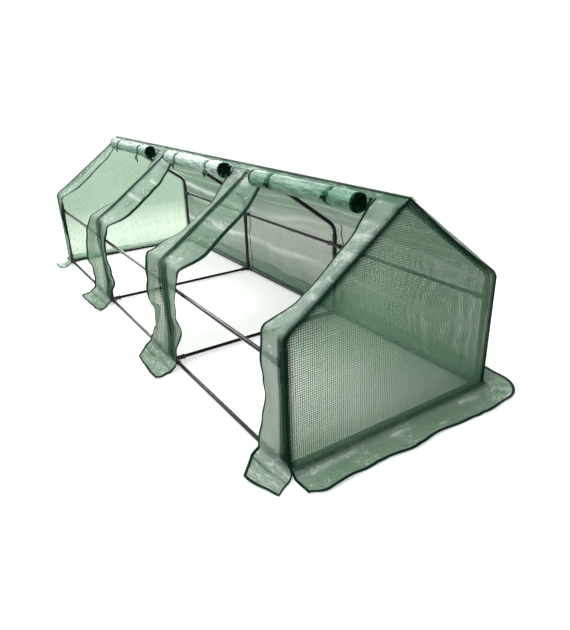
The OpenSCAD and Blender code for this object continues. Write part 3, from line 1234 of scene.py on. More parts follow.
SEWN: Points = ((0.03, 0.0), (0.42, 0.0))
LEFT_SAG: Points = (
    (0.0, 0.0), (0.10, 0.036), (0.22, 0.062), (0.38, 0.058), (0.51, 0.026), (0.61, 0.003), (0.65, 0.0),
)
RIGHT_SAG: Points = ((0.02, 0.0), (0.23, 0.050), (0.42, 0.054), (0.63, 0.0))
END_SAG: Points = ((0.05, 0.0), (0.19, 0.027), (0.42, 0.040), (0.61, 0.0))


@dataclass
class FrontStrip(Cover):
    """A strip of film over one front hoop, slack at its free edges, with a flap at its foot."""

    number: int = 1
    left: Wing = Wing(SEWN, -0.024, (-0.027, -0.551))
    right: Wing = Wing(SEWN, 0.024, (0.080, -0.535))
    crease: Points = SEWN
    crease_at: float = -0.040
    lift: float = 0.014
    eave_r: float = 0.036
    foot_r: float = 0.030
    touch: float = 0.005
    hug: float = 0.0036
    tube_side: float = 0.016
    tube_fall: float = 1.2
    corner_cut: float = 0.08
    hem: float = 0.016
    end_hem: float = 0.009
    seam: float = 0.004
    glints: tuple[float, ...] = (0.075,)
    worn: float = 0.5
    # Painted glare over the whole strip.
    painted_glare: float = 0.13
    seed: int = 1
    line: FilmLine = field(init=False)
    low: float = field(init=False)
    high: float = field(init=False)
    big: FoldNoise = field(init=False)
    small: FoldNoise = field(init=False)

    def __post_init__(self) -> None:
        """Works out the strip's line, its edges and its wrinkles."""
        sizes = self.sizes
        flap = sizes.flap - sizes.film - self.foot_r
        self.line = FilmLine(sizes, self.lift, self.eave_r, self.foot_r, flap)
        outer = sizes.end_x - sizes.hoop(4)
        inner = sizes.end_strip - outer
        spans = {1: (-outer, inner), 4: (-inner, outer)}
        self.low, self.high = spans.get(self.number, (-sizes.strip_half, sizes.strip_half))
        self.big = FoldNoise(40 + self.seed, 0.13)
        self.small = FoldNoise(60 + self.seed, 0.04)

    @property
    def node(self) -> str:
        """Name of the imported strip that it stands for."""
        return f"front_strip_{self.number}"

    @property
    def at_end(self) -> bool:
        """Whether one edge of the strip is sewn to an end panel."""
        return self.number in (1, 4)

    def free(self, u: Array) -> Array:
        """Share of the way from the tube to the free edge, 0 towards a sewn edge.

        Args:
            u: Places across the strip, from the hoop.

        Returns:
            The share at each place.
        """
        reach = max(self.high, -self.low) - self.touch
        if self.number == 1:
            off = u
        elif self.number == 4:
            off = -u
        else:
            off = np.abs(u)
        return np.clip((off - self.touch) / reach, 0.0, None)

    def hems(self) -> tuple[float, float]:
        """Widths of the dark edges on the left and on the right."""
        widths = {1: (self.seam, self.end_hem), 4: (self.end_hem, self.seam)}
        return widths.get(self.number, (self.hem, self.hem))

    def droop(self, u: Array, v: Array) -> Array:
        """Finds how far the film hangs in from its line on the slope and at the eave.

        Args:
            u: Places across the strip, from the hoop.
            v: Places along it, from the ridge.

        Returns:
            The depth at each place.
        """
        if self.at_end:
            sag = through(END_SAG, v)
        else:
            sag = np.where(u < 0.0, through(LEFT_SAG, v), through(RIGHT_SAG, v))
        return sag * self.free(u) ** 1.06

    def painted_shade(self, u: Array, v: Array) -> Array:
        """Finds the painted shade along the tubes behind the film, across the walls, and along the fold at
        the ground.

        Args:
            u: Places across the strip, from the hoop.
            v: Places along it, from the ridge.

        Returns:
            How dark the painted shade is there, from 0 to 1.
        """
        line = self.line
        x = self.hang(u, line.at(v)[1])[0]
        wall = ease(line.eave_s, line.wall_s, v) * ease(line.foot_s + 0.01, line.foot_s - 0.02, v)
        slope = ease(0.03, 0.05, v) * ease(line.wall_s, line.eave_s, v)
        # A painted shadow along the fold where the film turns onto the ground.
        fold = 0.8 * bell(line.ground_s - 0.006, 0.006, v)
        if self.at_end:
            sewn = u if self.number == 4 else -u
            on_wall = 0.95 * ease(-0.014, -0.009, sewn)
            on_slope = 0.35 * ease(-0.003, 0.003, sewn) + 0.55 * ease(0.009, 0.014, sewn)
        else:
            # Painted shade in bands where the leg lies behind the wall and in its folds, a little over the
            # whole wall, and along the rafter on the slope.
            folds = 0.8 + 0.2 * wave(x + 0.01 * self.big.at(u, 0.3 * v), 0.027)
            on_wall = 0.12 + 0.85 * folds * ease(-0.026, -0.018, x) * ease(0.078, 0.055, x)
            on_slope = 0.92 * ease(-0.007, -0.002, u) * ease(0.034, 0.020, u)
        return np.maximum(wall * on_wall + slope * on_slope, fold)

    def hang(self, u: Array, z: Array) -> tuple[Array, Array]:
        """How the film hangs below the eave, as flat facets between its folds.

        Args:
            u: Places across the flat strip, from the hoop.
            z: Heights above the ground.

        Returns:
            The place along the tunnel from the hoop, and how far out the film stands.
        """
        crease = through(self.crease, z)
        clear = ease(0.06, 0.09, z) * (1.0 - ease(0.30, 0.325, z))
        knots = sorted(
            [
                (self.low, through(self.left.out, z)), (self.crease_at, crease),
                (0.0, -self.hug * clear), (self.high, through(self.right.out, z)),
            ],
            key=lambda knot: knot[0],
        )
        lengths = []
        for (a, first), (b, second) in zip(knots, knots[1:]):
            lengths.append(np.sqrt(np.maximum((b - a) ** 2 - (second - first) ** 2, (0.3 * (b - a)) ** 2)))
        start = -sum(lengths[: [place for place, _ in knots].index(0.0)])
        x, out = start + 0.0 * u, knots[0][1] + 0.0 * u
        for (a, first), (b, second), length in zip(knots, knots[1:], lengths):
            share = np.clip((u - a) / (b - a), 0.0, 1.0)
            x = x + share * length
            out = np.where(u > a, first + (second - first) * share, out)
        across = (u - self.low) / (self.high - self.low)
        loose, sewn = ease(0.40, 0.04, z), ease(0.055, 0.004, z)
        left = (self.left.foot - self.low) * (sewn if self.number == 1 else loose)
        right = (self.right.foot - self.high) * (sewn if self.number == 4 else loose)
        x = x + left * (1.0 - across) + right * across
        tube = -self.hug * clear - self.tube_fall * np.maximum(np.abs(x) - self.tube_side, 0.0)
        return x, np.maximum(out, tube)

    def place(self, u: Array, v: Array) -> Array:
        """The strip's point for each point of the flat cut.

        Args:
            u: Places across the flat strip, from the hoop.
            v: Places along it, from the ridge.

        Returns:
            A point in the frame for each.
        """
        line, big, small = self.line, self.big, self.small
        y, z, ny, nz = line.at(v)
        share = self.free(u)
        droop = self.droop(u, v)
        below = ease(line.wall_s - 0.01, line.wall_s + 0.05, v)
        on_ground = ease(line.foot_s, line.ground_s, v)
        x, out = self.hang(u, z)
        off_tube = 1.0 - below * (1.0 - ease(0.012, 0.045, np.abs(x)))
        shrink = np.sign(u) * 0.5 * droop ** 2 / np.maximum(np.abs(u), 0.02)
        x = self.sizes.hoop(self.number) + u - shrink + below * (x - u)
        loose = ease(0.0, 0.08, v) * np.clip(share * 1.8, 0.0, 1.0)
        wrinkle = loose * (0.0045 * big.at(u, v) + 0.0022 * small.at(u, v))
        pleat = 0.004 * below * (1.0 - on_ground) * share * wave(u, 0.075, 0.3 * self.seed + 0.5 * v)
        on_slope = ease(0.055, 0.075, v) * ease(line.eave_s - 0.02, line.eave_s - 0.07, v)
        droop = droop + self.hug * on_slope * bell(0.0, 0.06, u)
        depth = (droop + (wrinkle + pleat) * off_tube) * (1.0 - on_ground) - out * below
        y, z = y - ny * depth * (1.0 - on_ground) - on_ground * out, z - nz * depth * (1.0 - on_ground)
        across = (u - self.low) / (self.high - self.low)
        reach = ease(line.ground_s - 0.03, line.ground_s + 0.02, v) * (v - line.ground_s)
        reach = np.clip(reach / (line.length - line.ground_s), 0.0, 1.0)
        reach = reach * (1.0 - self.corner_cut * np.abs(2.0 * across - 1.0) ** 5)
        tip_x = self.sizes.hoop(self.number) + self.left.tip[0] * (1 - across) + self.right.tip[0] * across
        tip_y = self.left.tip[1] * (1 - across) + self.right.tip[1] * across
        ground_y = float(line.at(np.array([line.ground_s]))[0][0])
        lay_y = ground_y - out + (tip_y - ground_y + out) * reach
        flat = ease(line.foot_s, line.ground_s + 0.002, v)
        x = x + flat * reach * (tip_x - x)
        y = y * (1.0 - flat) + lay_y * flat
        puff = 0.003 + 0.010 * np.abs(big.at(1.5 * u, 1.5 * v)) + 0.003 * small.at(u, v)
        z = np.maximum(z + flat * puff * (0.4 + 0.6 * reach), 0.0025)
        return np.stack([x, y, z], axis=1)

    def build(self) -> Piece:
        """Makes the strip and its binding.

        Returns:
            The strip.
        """
        line, low, high, length = self.line, self.low, self.high, self.line.length
        left, right = self.hems()
        across = ticks(high - low, left, right, 0.0045) + low
        along = ticks(length, 0.0, self.binding_w, 0.007)
        strip = Bench.grid(f"{self.node}_film", across, along, self.place)
        cut = Bench.flat_cut(strip)
        u, v = cut[:, 0], cut[:, 1]
        z = line.at(v)[1]
        # Painted glare and glints near the eave, in rows across the slope, on the left wing of the slope and
        # on the flap at the ground.
        near_eave = bell((line.eave_s + line.wall_s) / 2, 0.05, v)
        low_down = ease(line.wall_s + 0.1, line.length, v)
        patch = np.clip(self.big.at(u, v) + 0.45, 0.0, 1.0)
        slope = ease(line.eave_s + 0.02, line.eave_s - 0.02, v)
        fleck = np.clip(0.5 + 1.3 * self.small.at(0.6 * u, v), 0.0, 1.0)
        glint = sum(bell(row, 0.012, v + 0.015 * self.big.at(u, v)) for row in self.glints) * fleck + 0.0 * u
        wing = 0.0 if self.at_end else 0.30 * slope * ease(-0.002, -0.012, u)
        ground = ease(0.07, 0.02, z)
        self.marked(
            strip,
            self.painted_glare + 0.3 * near_eave * patch + glint + wing + ground * (0.08 + 0.4 * patch),
            0.22 + 0.3 * near_eave + 0.35 * low_down + 0.5 * glint + 0.5 * ground
            + self.worn * slope * (0.5 + 0.3 * patch),
            self.painted_shade(u, v),
        )
        edge = self.binding_w
        tape = bind(
            strip, f"{self.node}_binding", self.finishes.tape, self.binding_t,
            lambda u, v: u < low + left or u > high - right or v > length - edge,
        )
        dress(strip, self.finishes.film, Slot.FILM, self.node)
        return strip


@dataclass
class Skirt(Cover):
    """The film that lies on the ground round the two ends and the back."""

    END_STEPS = 95
    CORNER_STEPS = 17
    BACK_STEPS = 271

    name: str = "ground_skirt"
    rise: float = 0.022
    clear: float = 0.001
    corner_r: float = 0.012
    front_gap: float = 0.004
    end_hem: float = 0.008

    def outline(self) -> tuple[Array, Array, Array]:
        """The wall's foot from the left front corner round the back to the right one.

        Returns:
            Places along the foot, its points, and the outward directions there.
        """
        sizes = self.sizes
        x, y = sizes.end_x + self.clear, sizes.half_w + sizes.film + self.clear
        r = self.corner_r
        front = -(sizes.half_w + sizes.film) + self.front_gap
        points, ways = [], []
        for t in np.linspace(0.0, 1.0, self.END_STEPS):
            points.append((-x, front + (y - r - front) * t))
            ways.append(math.pi)
        for t in np.linspace(0.0, 1.0, self.CORNER_STEPS)[1:-1]:
            turn = math.pi - t * math.pi / 2
            points.append((-x + r + r * math.cos(turn), y - r + r * math.sin(turn)))
            ways.append(turn)
        mirrored = len(points) - 1
        for t in np.linspace(0.0, 1.0, self.BACK_STEPS):
            points.append((-x + r + 2 * (x - r) * t, y))
            ways.append(math.pi / 2)
        points += [(-px, py) for px, py in points[:mirrored]][::-1]
        ways += [math.pi - way for way in ways[:mirrored]][::-1]
        spots = np.array(points)
        steps = np.concatenate([[0.0], np.cumsum(np.linalg.norm(np.diff(spots, axis=0), axis=1))])
        return steps, spots, np.array(ways)

    def build(self) -> Piece:
        """Makes the skirt and its binding.

        Returns:
            The skirt.
        """
        sizes = self.sizes
        steps, spots, ways = self.outline()
        total = float(steps[-1])
        width = sizes.skirt + 0.5 * self.rise
        along = np.concatenate([[steps[0], self.end_hem], steps[2:-2], [total - self.end_hem, total]])
        outward = ticks(width, 0.0, self.binding_w, 0.0075)
        big = FoldNoise(81, 0.16)
        small = FoldNoise(82, 0.045)

        def place(u: Array, v: Array) -> Array:
            """Finds the skirt's points.

            Args:
                u: Places along the wall's foot.
                v: Distances out from it.

            Returns:
                A point in the frame for each.
            """
            x = np.interp(u, steps, spots[:, 0])
            y = np.interp(u, steps, spots[:, 1])
            way = np.interp(u, steps, ways)
            reach = v - 0.35 * self.rise * ease(0.0, 2.2 * self.rise, v)
            fall = self.rise * (1.0 - ease(0.0, 2.2 * self.rise, v))
            sway = 0.012 * ease(0.03, width, v) * big.at(1.3 * u + 4.0, 0.4 * v)
            reach = reach * (1.0 + 0.03 * wave(u, 0.83)) + sway
            reach = reach * (1.0 - 0.2 * ease(0.07, 0.0, np.minimum(u, total - u)) ** 2)
            puff = 0.007 * np.abs(big.at(u, v)) + 0.004 * small.at(u, v) ** 2
            curl = 0.006 * ease(width - 0.03, width, v) * (0.5 + 0.5 * wave(u, 0.37, 0.2))
            z = 0.0022 + fall + ease(0.01, 0.05, v) * (puff + curl)
            return np.stack([x + reach * np.cos(way), y + reach * np.sin(way), z], axis=1)

        skirt = Bench.grid(self.name, along, outward, place)
        cut = Bench.flat_cut(skirt)
        u, v = cut[:, 0], cut[:, 1]
        # Painted glint streaks along the middle, paler along the creases, and painted shade near the wall.
        ragged = np.clip(0.2 + 1.5 * small.at(0.4 * u, v), 0, 1)
        streak = bell(0.058, 0.012, v + 0.02 * big.at(0.6 * u, v)) * ragged
        self.marked(
            skirt,
            0.20 + 0.4 * np.clip(big.creases(u, v) - 0.55, 0, 1) + 0.9 * streak,
            0.62 + 0.4 * big.at(u + 1.0, v) + 0.4 * streak,
            0.75 * ease(0.032, 0.014, v),
        )
        edge = self.binding_w
        tape = bind(
            skirt, f"{self.name}_binding", self.finishes.tape, self.binding_t,
            lambda u, v: v > width - edge or u < self.end_hem or u > total - self.end_hem,
        )
        dress(skirt, self.finishes.film, Slot.FILM, "back_skirt", "left_skirt", "right_skirt")
        return skirt


@dataclass
class RidgeBand(Cover):
    """The band sewn over the ridge, with a dark line along its top."""

    node: str = "ridge_band"
    lift: float = 0.0175
    hem: float = 0.006
    past_end: float = 0.002
    tape_half: float = 0.0118
    crown: float = 0.004
    crown_half: float = 0.008

    def build(self) -> Piece:
        """Makes the band and its ridge tape.

        Returns:
            The band.
        """
        sizes = self.sizes
        wing = sizes.band / math.cos(sizes.slope) - 0.006
        line = FilmLine(sizes, self.lift, 0.03, 0.0, 0.0)
        reach = sizes.end_x + self.past_end
        across = np.linspace(-reach, reach, 261)
        inner = wing - self.hem
        along = np.concatenate([[-wing, -inner], np.linspace(-0.024, 0.024, 13), [inner, wing]])
        ripple = FoldNoise(91, 0.06)

        def place(u: Array, v: Array) -> Array:
            """Finds the band's points.

            Args:
                u: Places along the tunnel.
                v: Distances down either side of the ridge, above 0 on the door side.

            Returns:
                A point in the frame for each.
            """
            y, z, ny, nz = line.at(np.abs(v))
            bend = self.crown * np.exp(-(np.abs(v) / self.crown_half) ** 2)
            side = np.where(v < 0.0, 1.0, -1.0)
            off = 0.0012 * ripple.at(u, v) * ease(0.004, 0.02, np.abs(v))
            return np.stack([u, -side * (y + ny * off), z + nz * off - bend], axis=1)

        band = Bench.grid(f"{self.node}_film", across, along, place)
        cut = Bench.flat_cut(band)
        even = 0.0 * cut[:, 0]
        self.marked(band, 0.2 + 0.2 * ripple.at(cut[:, 0], cut[:, 1]), even + 0.6, even)
        tape = bind(
            band, "ridge_binding", self.finishes.tape, self.binding_t,
            lambda u, v: abs(v) < self.tape_half,
        )
        dress(band, self.finishes.film, Slot.FILM, self.node)
        return band


@dataclass
class RolledDoor(Cover):
    """A door rolled up on the outside, close under the ridge, and drawn in by its two ties."""

    number: int = 1
    # Painted glare, then painted shade, over the whole roll.
    pale: float = 0.3
    dim: float = 0.0
    knot_turns: tuple[float, float] = (205.0, 205.0)
    loose: tuple[float, float] = (0.026, 0.026)
    seed: int = 1
    roll_r: float = 0.0330
    core_r: float = 0.008
    turns: float = 8.0
    turn_rows: int = 34
    recess: float = 0.018
    waist: float = 0.11
    tie_half: float = 0.009
    tie_gap: float = 0.0020
    edge: float = 0.010
    edge_t: float = 0.0022
    film_t: float = 0.0008
    x0: float = field(init=False)
    wide: float = field(init=False)
    ties: tuple[float, float] = field(init=False)
    middle: Array = field(init=False)
    head: Array = field(init=False)
    last: float = field(init=False)
    tail: float = field(init=False)

    def __post_init__(self) -> None:
        """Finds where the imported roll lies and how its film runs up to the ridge."""
        low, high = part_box(f"rolled_door_{self.number}")
        tie_low, tie_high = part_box(f"door_ties_{self.number}")
        slope = self.sizes.slope
        self.x0, self.wide = low.x, high.x - low.x
        self.ties = (tie_low.x + self.tie_half - low.x, tie_high.x - self.tie_half - low.x)
        self.middle = np.array([low.y + self.roll_r - 0.0012, low.z + self.roll_r - 0.0004])
        self.head = np.array([-0.015 * math.sin(slope), self.sizes.ridge_z + 0.015 * math.cos(slope)])
        run = self.head - self.middle
        reach = float(np.hypot(run[0], run[1]))
        self.last = math.atan2(run[1], run[0]) - math.acos(self.roll_r / reach)
        self.tail = math.sqrt(reach ** 2 - self.roll_r ** 2) - 0.004

    def near_tie(self, u: Array, width: float) -> Array:
        """A bump of height 1 at each tie that fades over width."""
        return sum(bell(tie, width, u) for tie in self.ties)

    def build(self) -> Piece:
        """Makes the roll, its bound ends and its ties.

        Returns:
            The roll.
        """
        wide, tail = self.wide, self.tail
        pitch = (self.roll_r - self.core_r) / self.turns
        spiral = math.pi * (self.roll_r ** 2 - self.core_r ** 2) / pitch
        rows = round(self.turns * self.turn_rows)
        along = np.concatenate([np.linspace(0.0, spiral, rows), spiral + np.linspace(0.0, tail, 14)[1:]])
        across = ticks(wide, self.edge, self.edge, 0.0085)
        lump = FoldNoise(100 + self.seed, 0.075)
        fine = FoldNoise(110 + self.seed, 0.028)

        def place(u: Array, v: Array) -> Array:
            """Finds the door's points.

            Args:
                u: Places along the roll.
                v: Distances along the film from the roll's core.

            Returns:
                A point in the frame for each.
            """
            r = np.sqrt(self.core_r ** 2 + np.minimum(v, spiral) * pitch / math.pi)
            turn = self.last - 2 * math.pi * (self.roll_r - r) / pitch
            share = (r / self.roll_r) ** 2
            dent = 0.0020 * lump.at(0.4 * u, 0.13 * np.cos(turn))
            dent = dent + 0.0005 * fine.at(0.5 * u, 0.09 * np.sin(turn))
            pleat = 0.0012 * self.near_tie(u, 0.035) * np.sin(7.0 * turn + self.seed)
            waist = self.waist * self.near_tie(u, 0.016)
            r = r * (1.0 - waist * share) + share * (dent + pleat)
            up = np.clip(v - spiral, 0.0, None)
            slack = 0.002 * np.sin(math.pi * np.clip(up / tail, 0.0, 1.0))
            y = self.middle[0] + (r + slack) * np.cos(turn) - up * math.sin(self.last)
            z = self.middle[1] + (r + slack) * np.sin(turn) + up * math.cos(self.last)
            inset = self.recess * (1.0 - share)
            return np.stack([self.x0 + inset + u * (1.0 - 2.0 * inset / wide), y, z], axis=1)

        door = Bench.grid(f"rolled_door_{self.number}_film", across, along, place)
        cut = Bench.flat_cut(door)
        # The value named shade here is painted glare, uneven over the roll; the last mark is painted shade
        # over the whole roll.
        shade = self.pale * (0.8 + 0.5 * lump.at(0.5 * cut[:, 0], cut[:, 1]))
        self.marked(door, shade, 0.12 + 0.6 * self.near_tie(cut[:, 0], 0.05), self.dim + 0.0 * shade)
        tape = bind(
            door, f"rolled_door_{self.number}_binding", self.finishes.tape, self.edge_t,
            lambda u, v: u < self.edge or u > wide - self.edge,
        )
        Bench.apply(door, "SOLIDIFY", thickness=self.film_t, offset=0.0)
        dress(door, self.finishes.roll, Slot.ROLL, f"rolled_door_{self.number}")
        tie_r = self.roll_r * (1.0 - self.waist) + self.tie_gap
        for index, tie in enumerate(self.ties):
            strap = TieStrap(
                self.finishes, f"door_tie_{self.number}_{index + 1}", self.x0 + tie, self.middle, self.head,
                self.last, tie_r, math.radians(self.knot_turns[index]),
                self.loose[index], 10 * self.number + index,
            ).build()
            if index == 0:
                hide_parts(f"door_ties_{self.number}")
        return door


@dataclass
class TieStrap:
    """A flat strap from the ridge round a roll, knotted on the outside."""

    finishes: Finishes
    name: str
    x: float
    middle: Array
    head: Array
    last: float
    r: float
    knot_turn: float
    loose: float
    seed: int
    seam: float = 0.038
    width: float = 0.017
    thick: float = 0.0012
    hang_turn: float = math.radians(195.0)
    knot_r: float = 0.0055
    knot_tape_r: float = 0.0042
    knot_tilt: tuple[float, float, float] = (0.9, 0.25, 0.3)
    knot_scale: tuple[float, float, float] = (1.35, 0.95, 1.1)

    def build(self) -> Piece:
        """Makes the strap, its knot and its loose ends.

        Returns:
            The strap.
        """
        down = np.array([math.sin(self.last), -math.cos(self.last)])
        inner = np.array([math.cos(self.last), math.sin(self.last)])
        root = self.head + self.seam * down - 0.0028 * inner
        spoke = root - self.middle
        span = max(self.r, float(np.hypot(spoke[0], spoke[1])))
        start = math.atan2(spoke[1], spoke[0]) + math.acos(self.r / span)
        turns = np.linspace(start, self.last + 2 * math.pi, 52)
        ring = self.middle + self.r * np.stack([np.cos(turns), np.sin(turns)], axis=1)
        under = self.head + self.seam * down + 0.0022 * inner
        path = np.vstack([np.linspace(root, ring[0], 4)[:-1], ring, np.linspace(ring[-1], under, 6)[1:]])
        steps = np.concatenate([[0.0], np.cumsum(np.linalg.norm(np.diff(path, axis=0), axis=1))])
        length = float(steps[-1])
        knot_at = float(np.interp(self.knot_turn, turns, steps[3:3 + len(turns)]))
        ruck = FoldNoise(200 + self.seed, 0.02)

        def place(u: Array, v: Array) -> Array:
            """Finds the strap's points.

            Args:
                u: Places across the strap.
                v: Places along it.

            Returns:
                A point in the frame for each.
            """
            y, z = np.interp(v, steps, path[:, 0]), np.interp(v, steps, path[:, 1])
            gather = 1.0 - 0.6 * bell(knot_at, 0.014, v)
            lift = 0.0010 * ruck.at(u, v)
            away = np.stack([y - self.middle[0], z - self.middle[1]], axis=1)
            away = away / np.linalg.norm(away, axis=1)[:, None]
            return np.stack([self.x + u * gather, y + lift * away[:, 0], z + lift * away[:, 1]], axis=1)

        across = np.linspace(-self.width / 2, self.width / 2, 9)
        strap = Bench.grid(self.name, across, np.linspace(0.0, length, 96), place)
        Bench.apply(strap, "SOLIDIFY", thickness=self.thick, offset=0.0)
        dress(strap, self.finishes.strap, Slot.TIE)
        ends = [self.knot()] + [self.loose_end(k) for k in (0, 1)]
        return strap

    def knot(self) -> Piece:
        """Makes the knot's wrapped turn of tape.

        Returns:
            The knot.
        """
        r = self.r + 0.003
        spot = self.middle + r * np.array([math.cos(self.knot_turn), math.sin(self.knot_turn)])
        bpy.ops.object.select_all(action="DESELECT")
        bpy.ops.mesh.primitive_torus_add(
            major_segments=20, minor_segments=10, major_radius=self.knot_r, minor_radius=self.knot_tape_r,
            location=(self.x, spot[0], spot[1]), rotation=self.knot_tilt,
        )
        piece = bpy.context.object
        piece.name = f"{self.name}_knot"
        piece.data.name = piece.name
        bpy.ops.object.mode_set(mode="EDIT")
        bpy.ops.mesh.select_all(action="SELECT")
        bpy.ops.transform.resize(value=self.knot_scale)
        bpy.ops.mesh.vertices_smooth(factor=0.4, repeat=2)
        bpy.ops.object.mode_set(mode="OBJECT")
        Bench.settle(piece)
        Bench.smooth(piece)
        return dress(piece, self.finishes.strap, Slot.TIE)

    def loose_end(self, which: int) -> Piece:
        """Makes one loose end, which follows the roll down from the knot and then hangs.

        Args:
            which: 0 for the short end to the left, 1 for the longer one.

        Returns:
            The loose end.
        """
        length = self.loose * (0.75 if which == 0 else 1.0)
        lean = -0.75 if which == 0 else 0.22
        r = self.r + 0.0045
        arc = max(0.0, self.hang_turn - self.knot_turn)

        def place(u: Array, v: Array) -> Array:
            """Finds the loose end's points.

            Args:
                u: Places across the end.
                v: Places along it, from the knot.

            Returns:
                A point in the frame for each.
            """
            turn = np.minimum(v / r, arc)
            angle = self.knot_turn + turn
            lift = r + 0.004 * np.sin(math.pi * v / length)
            y = self.middle[0] + lift * np.cos(angle) - 0.12 * (v - r * turn)
            z = self.middle[1] + lift * np.sin(angle) - (v - r * turn)
            x = self.x + lean * v + u * (0.7 + 0.3 * v / length)
            return np.stack([x, y + 0.2 * u, z + 0.3 * u], axis=1)

        across = np.linspace(-self.width * 0.34, self.width * 0.34, 5)
        piece = Bench.grid(f"{self.name}_end_{which + 1}", across, np.linspace(0.0, length, 18), place)
        Bench.apply(piece, "SOLIDIFY", thickness=self.thick, offset=0.0)
        return dress(piece, self.finishes.tape, Slot.TIE)


@dataclass
class Metalwork:
    """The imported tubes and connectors, which keep their shapes and get their finishes."""

    nodes: dict[str, Piece]
    finishes: Finishes

    def build(self) -> None:
        """Assigns the coating and the plastic."""
        for name, node in self.nodes.items():
            if node.hide_render:
                continue
            moulded = name.endswith("connectors") or name.endswith("feet")
            material = self.finishes.plastic if moulded else self.finishes.coat
            node.data.materials.clear()
            node.data.materials.append(material)
            LOG.info("dressed %s", name)


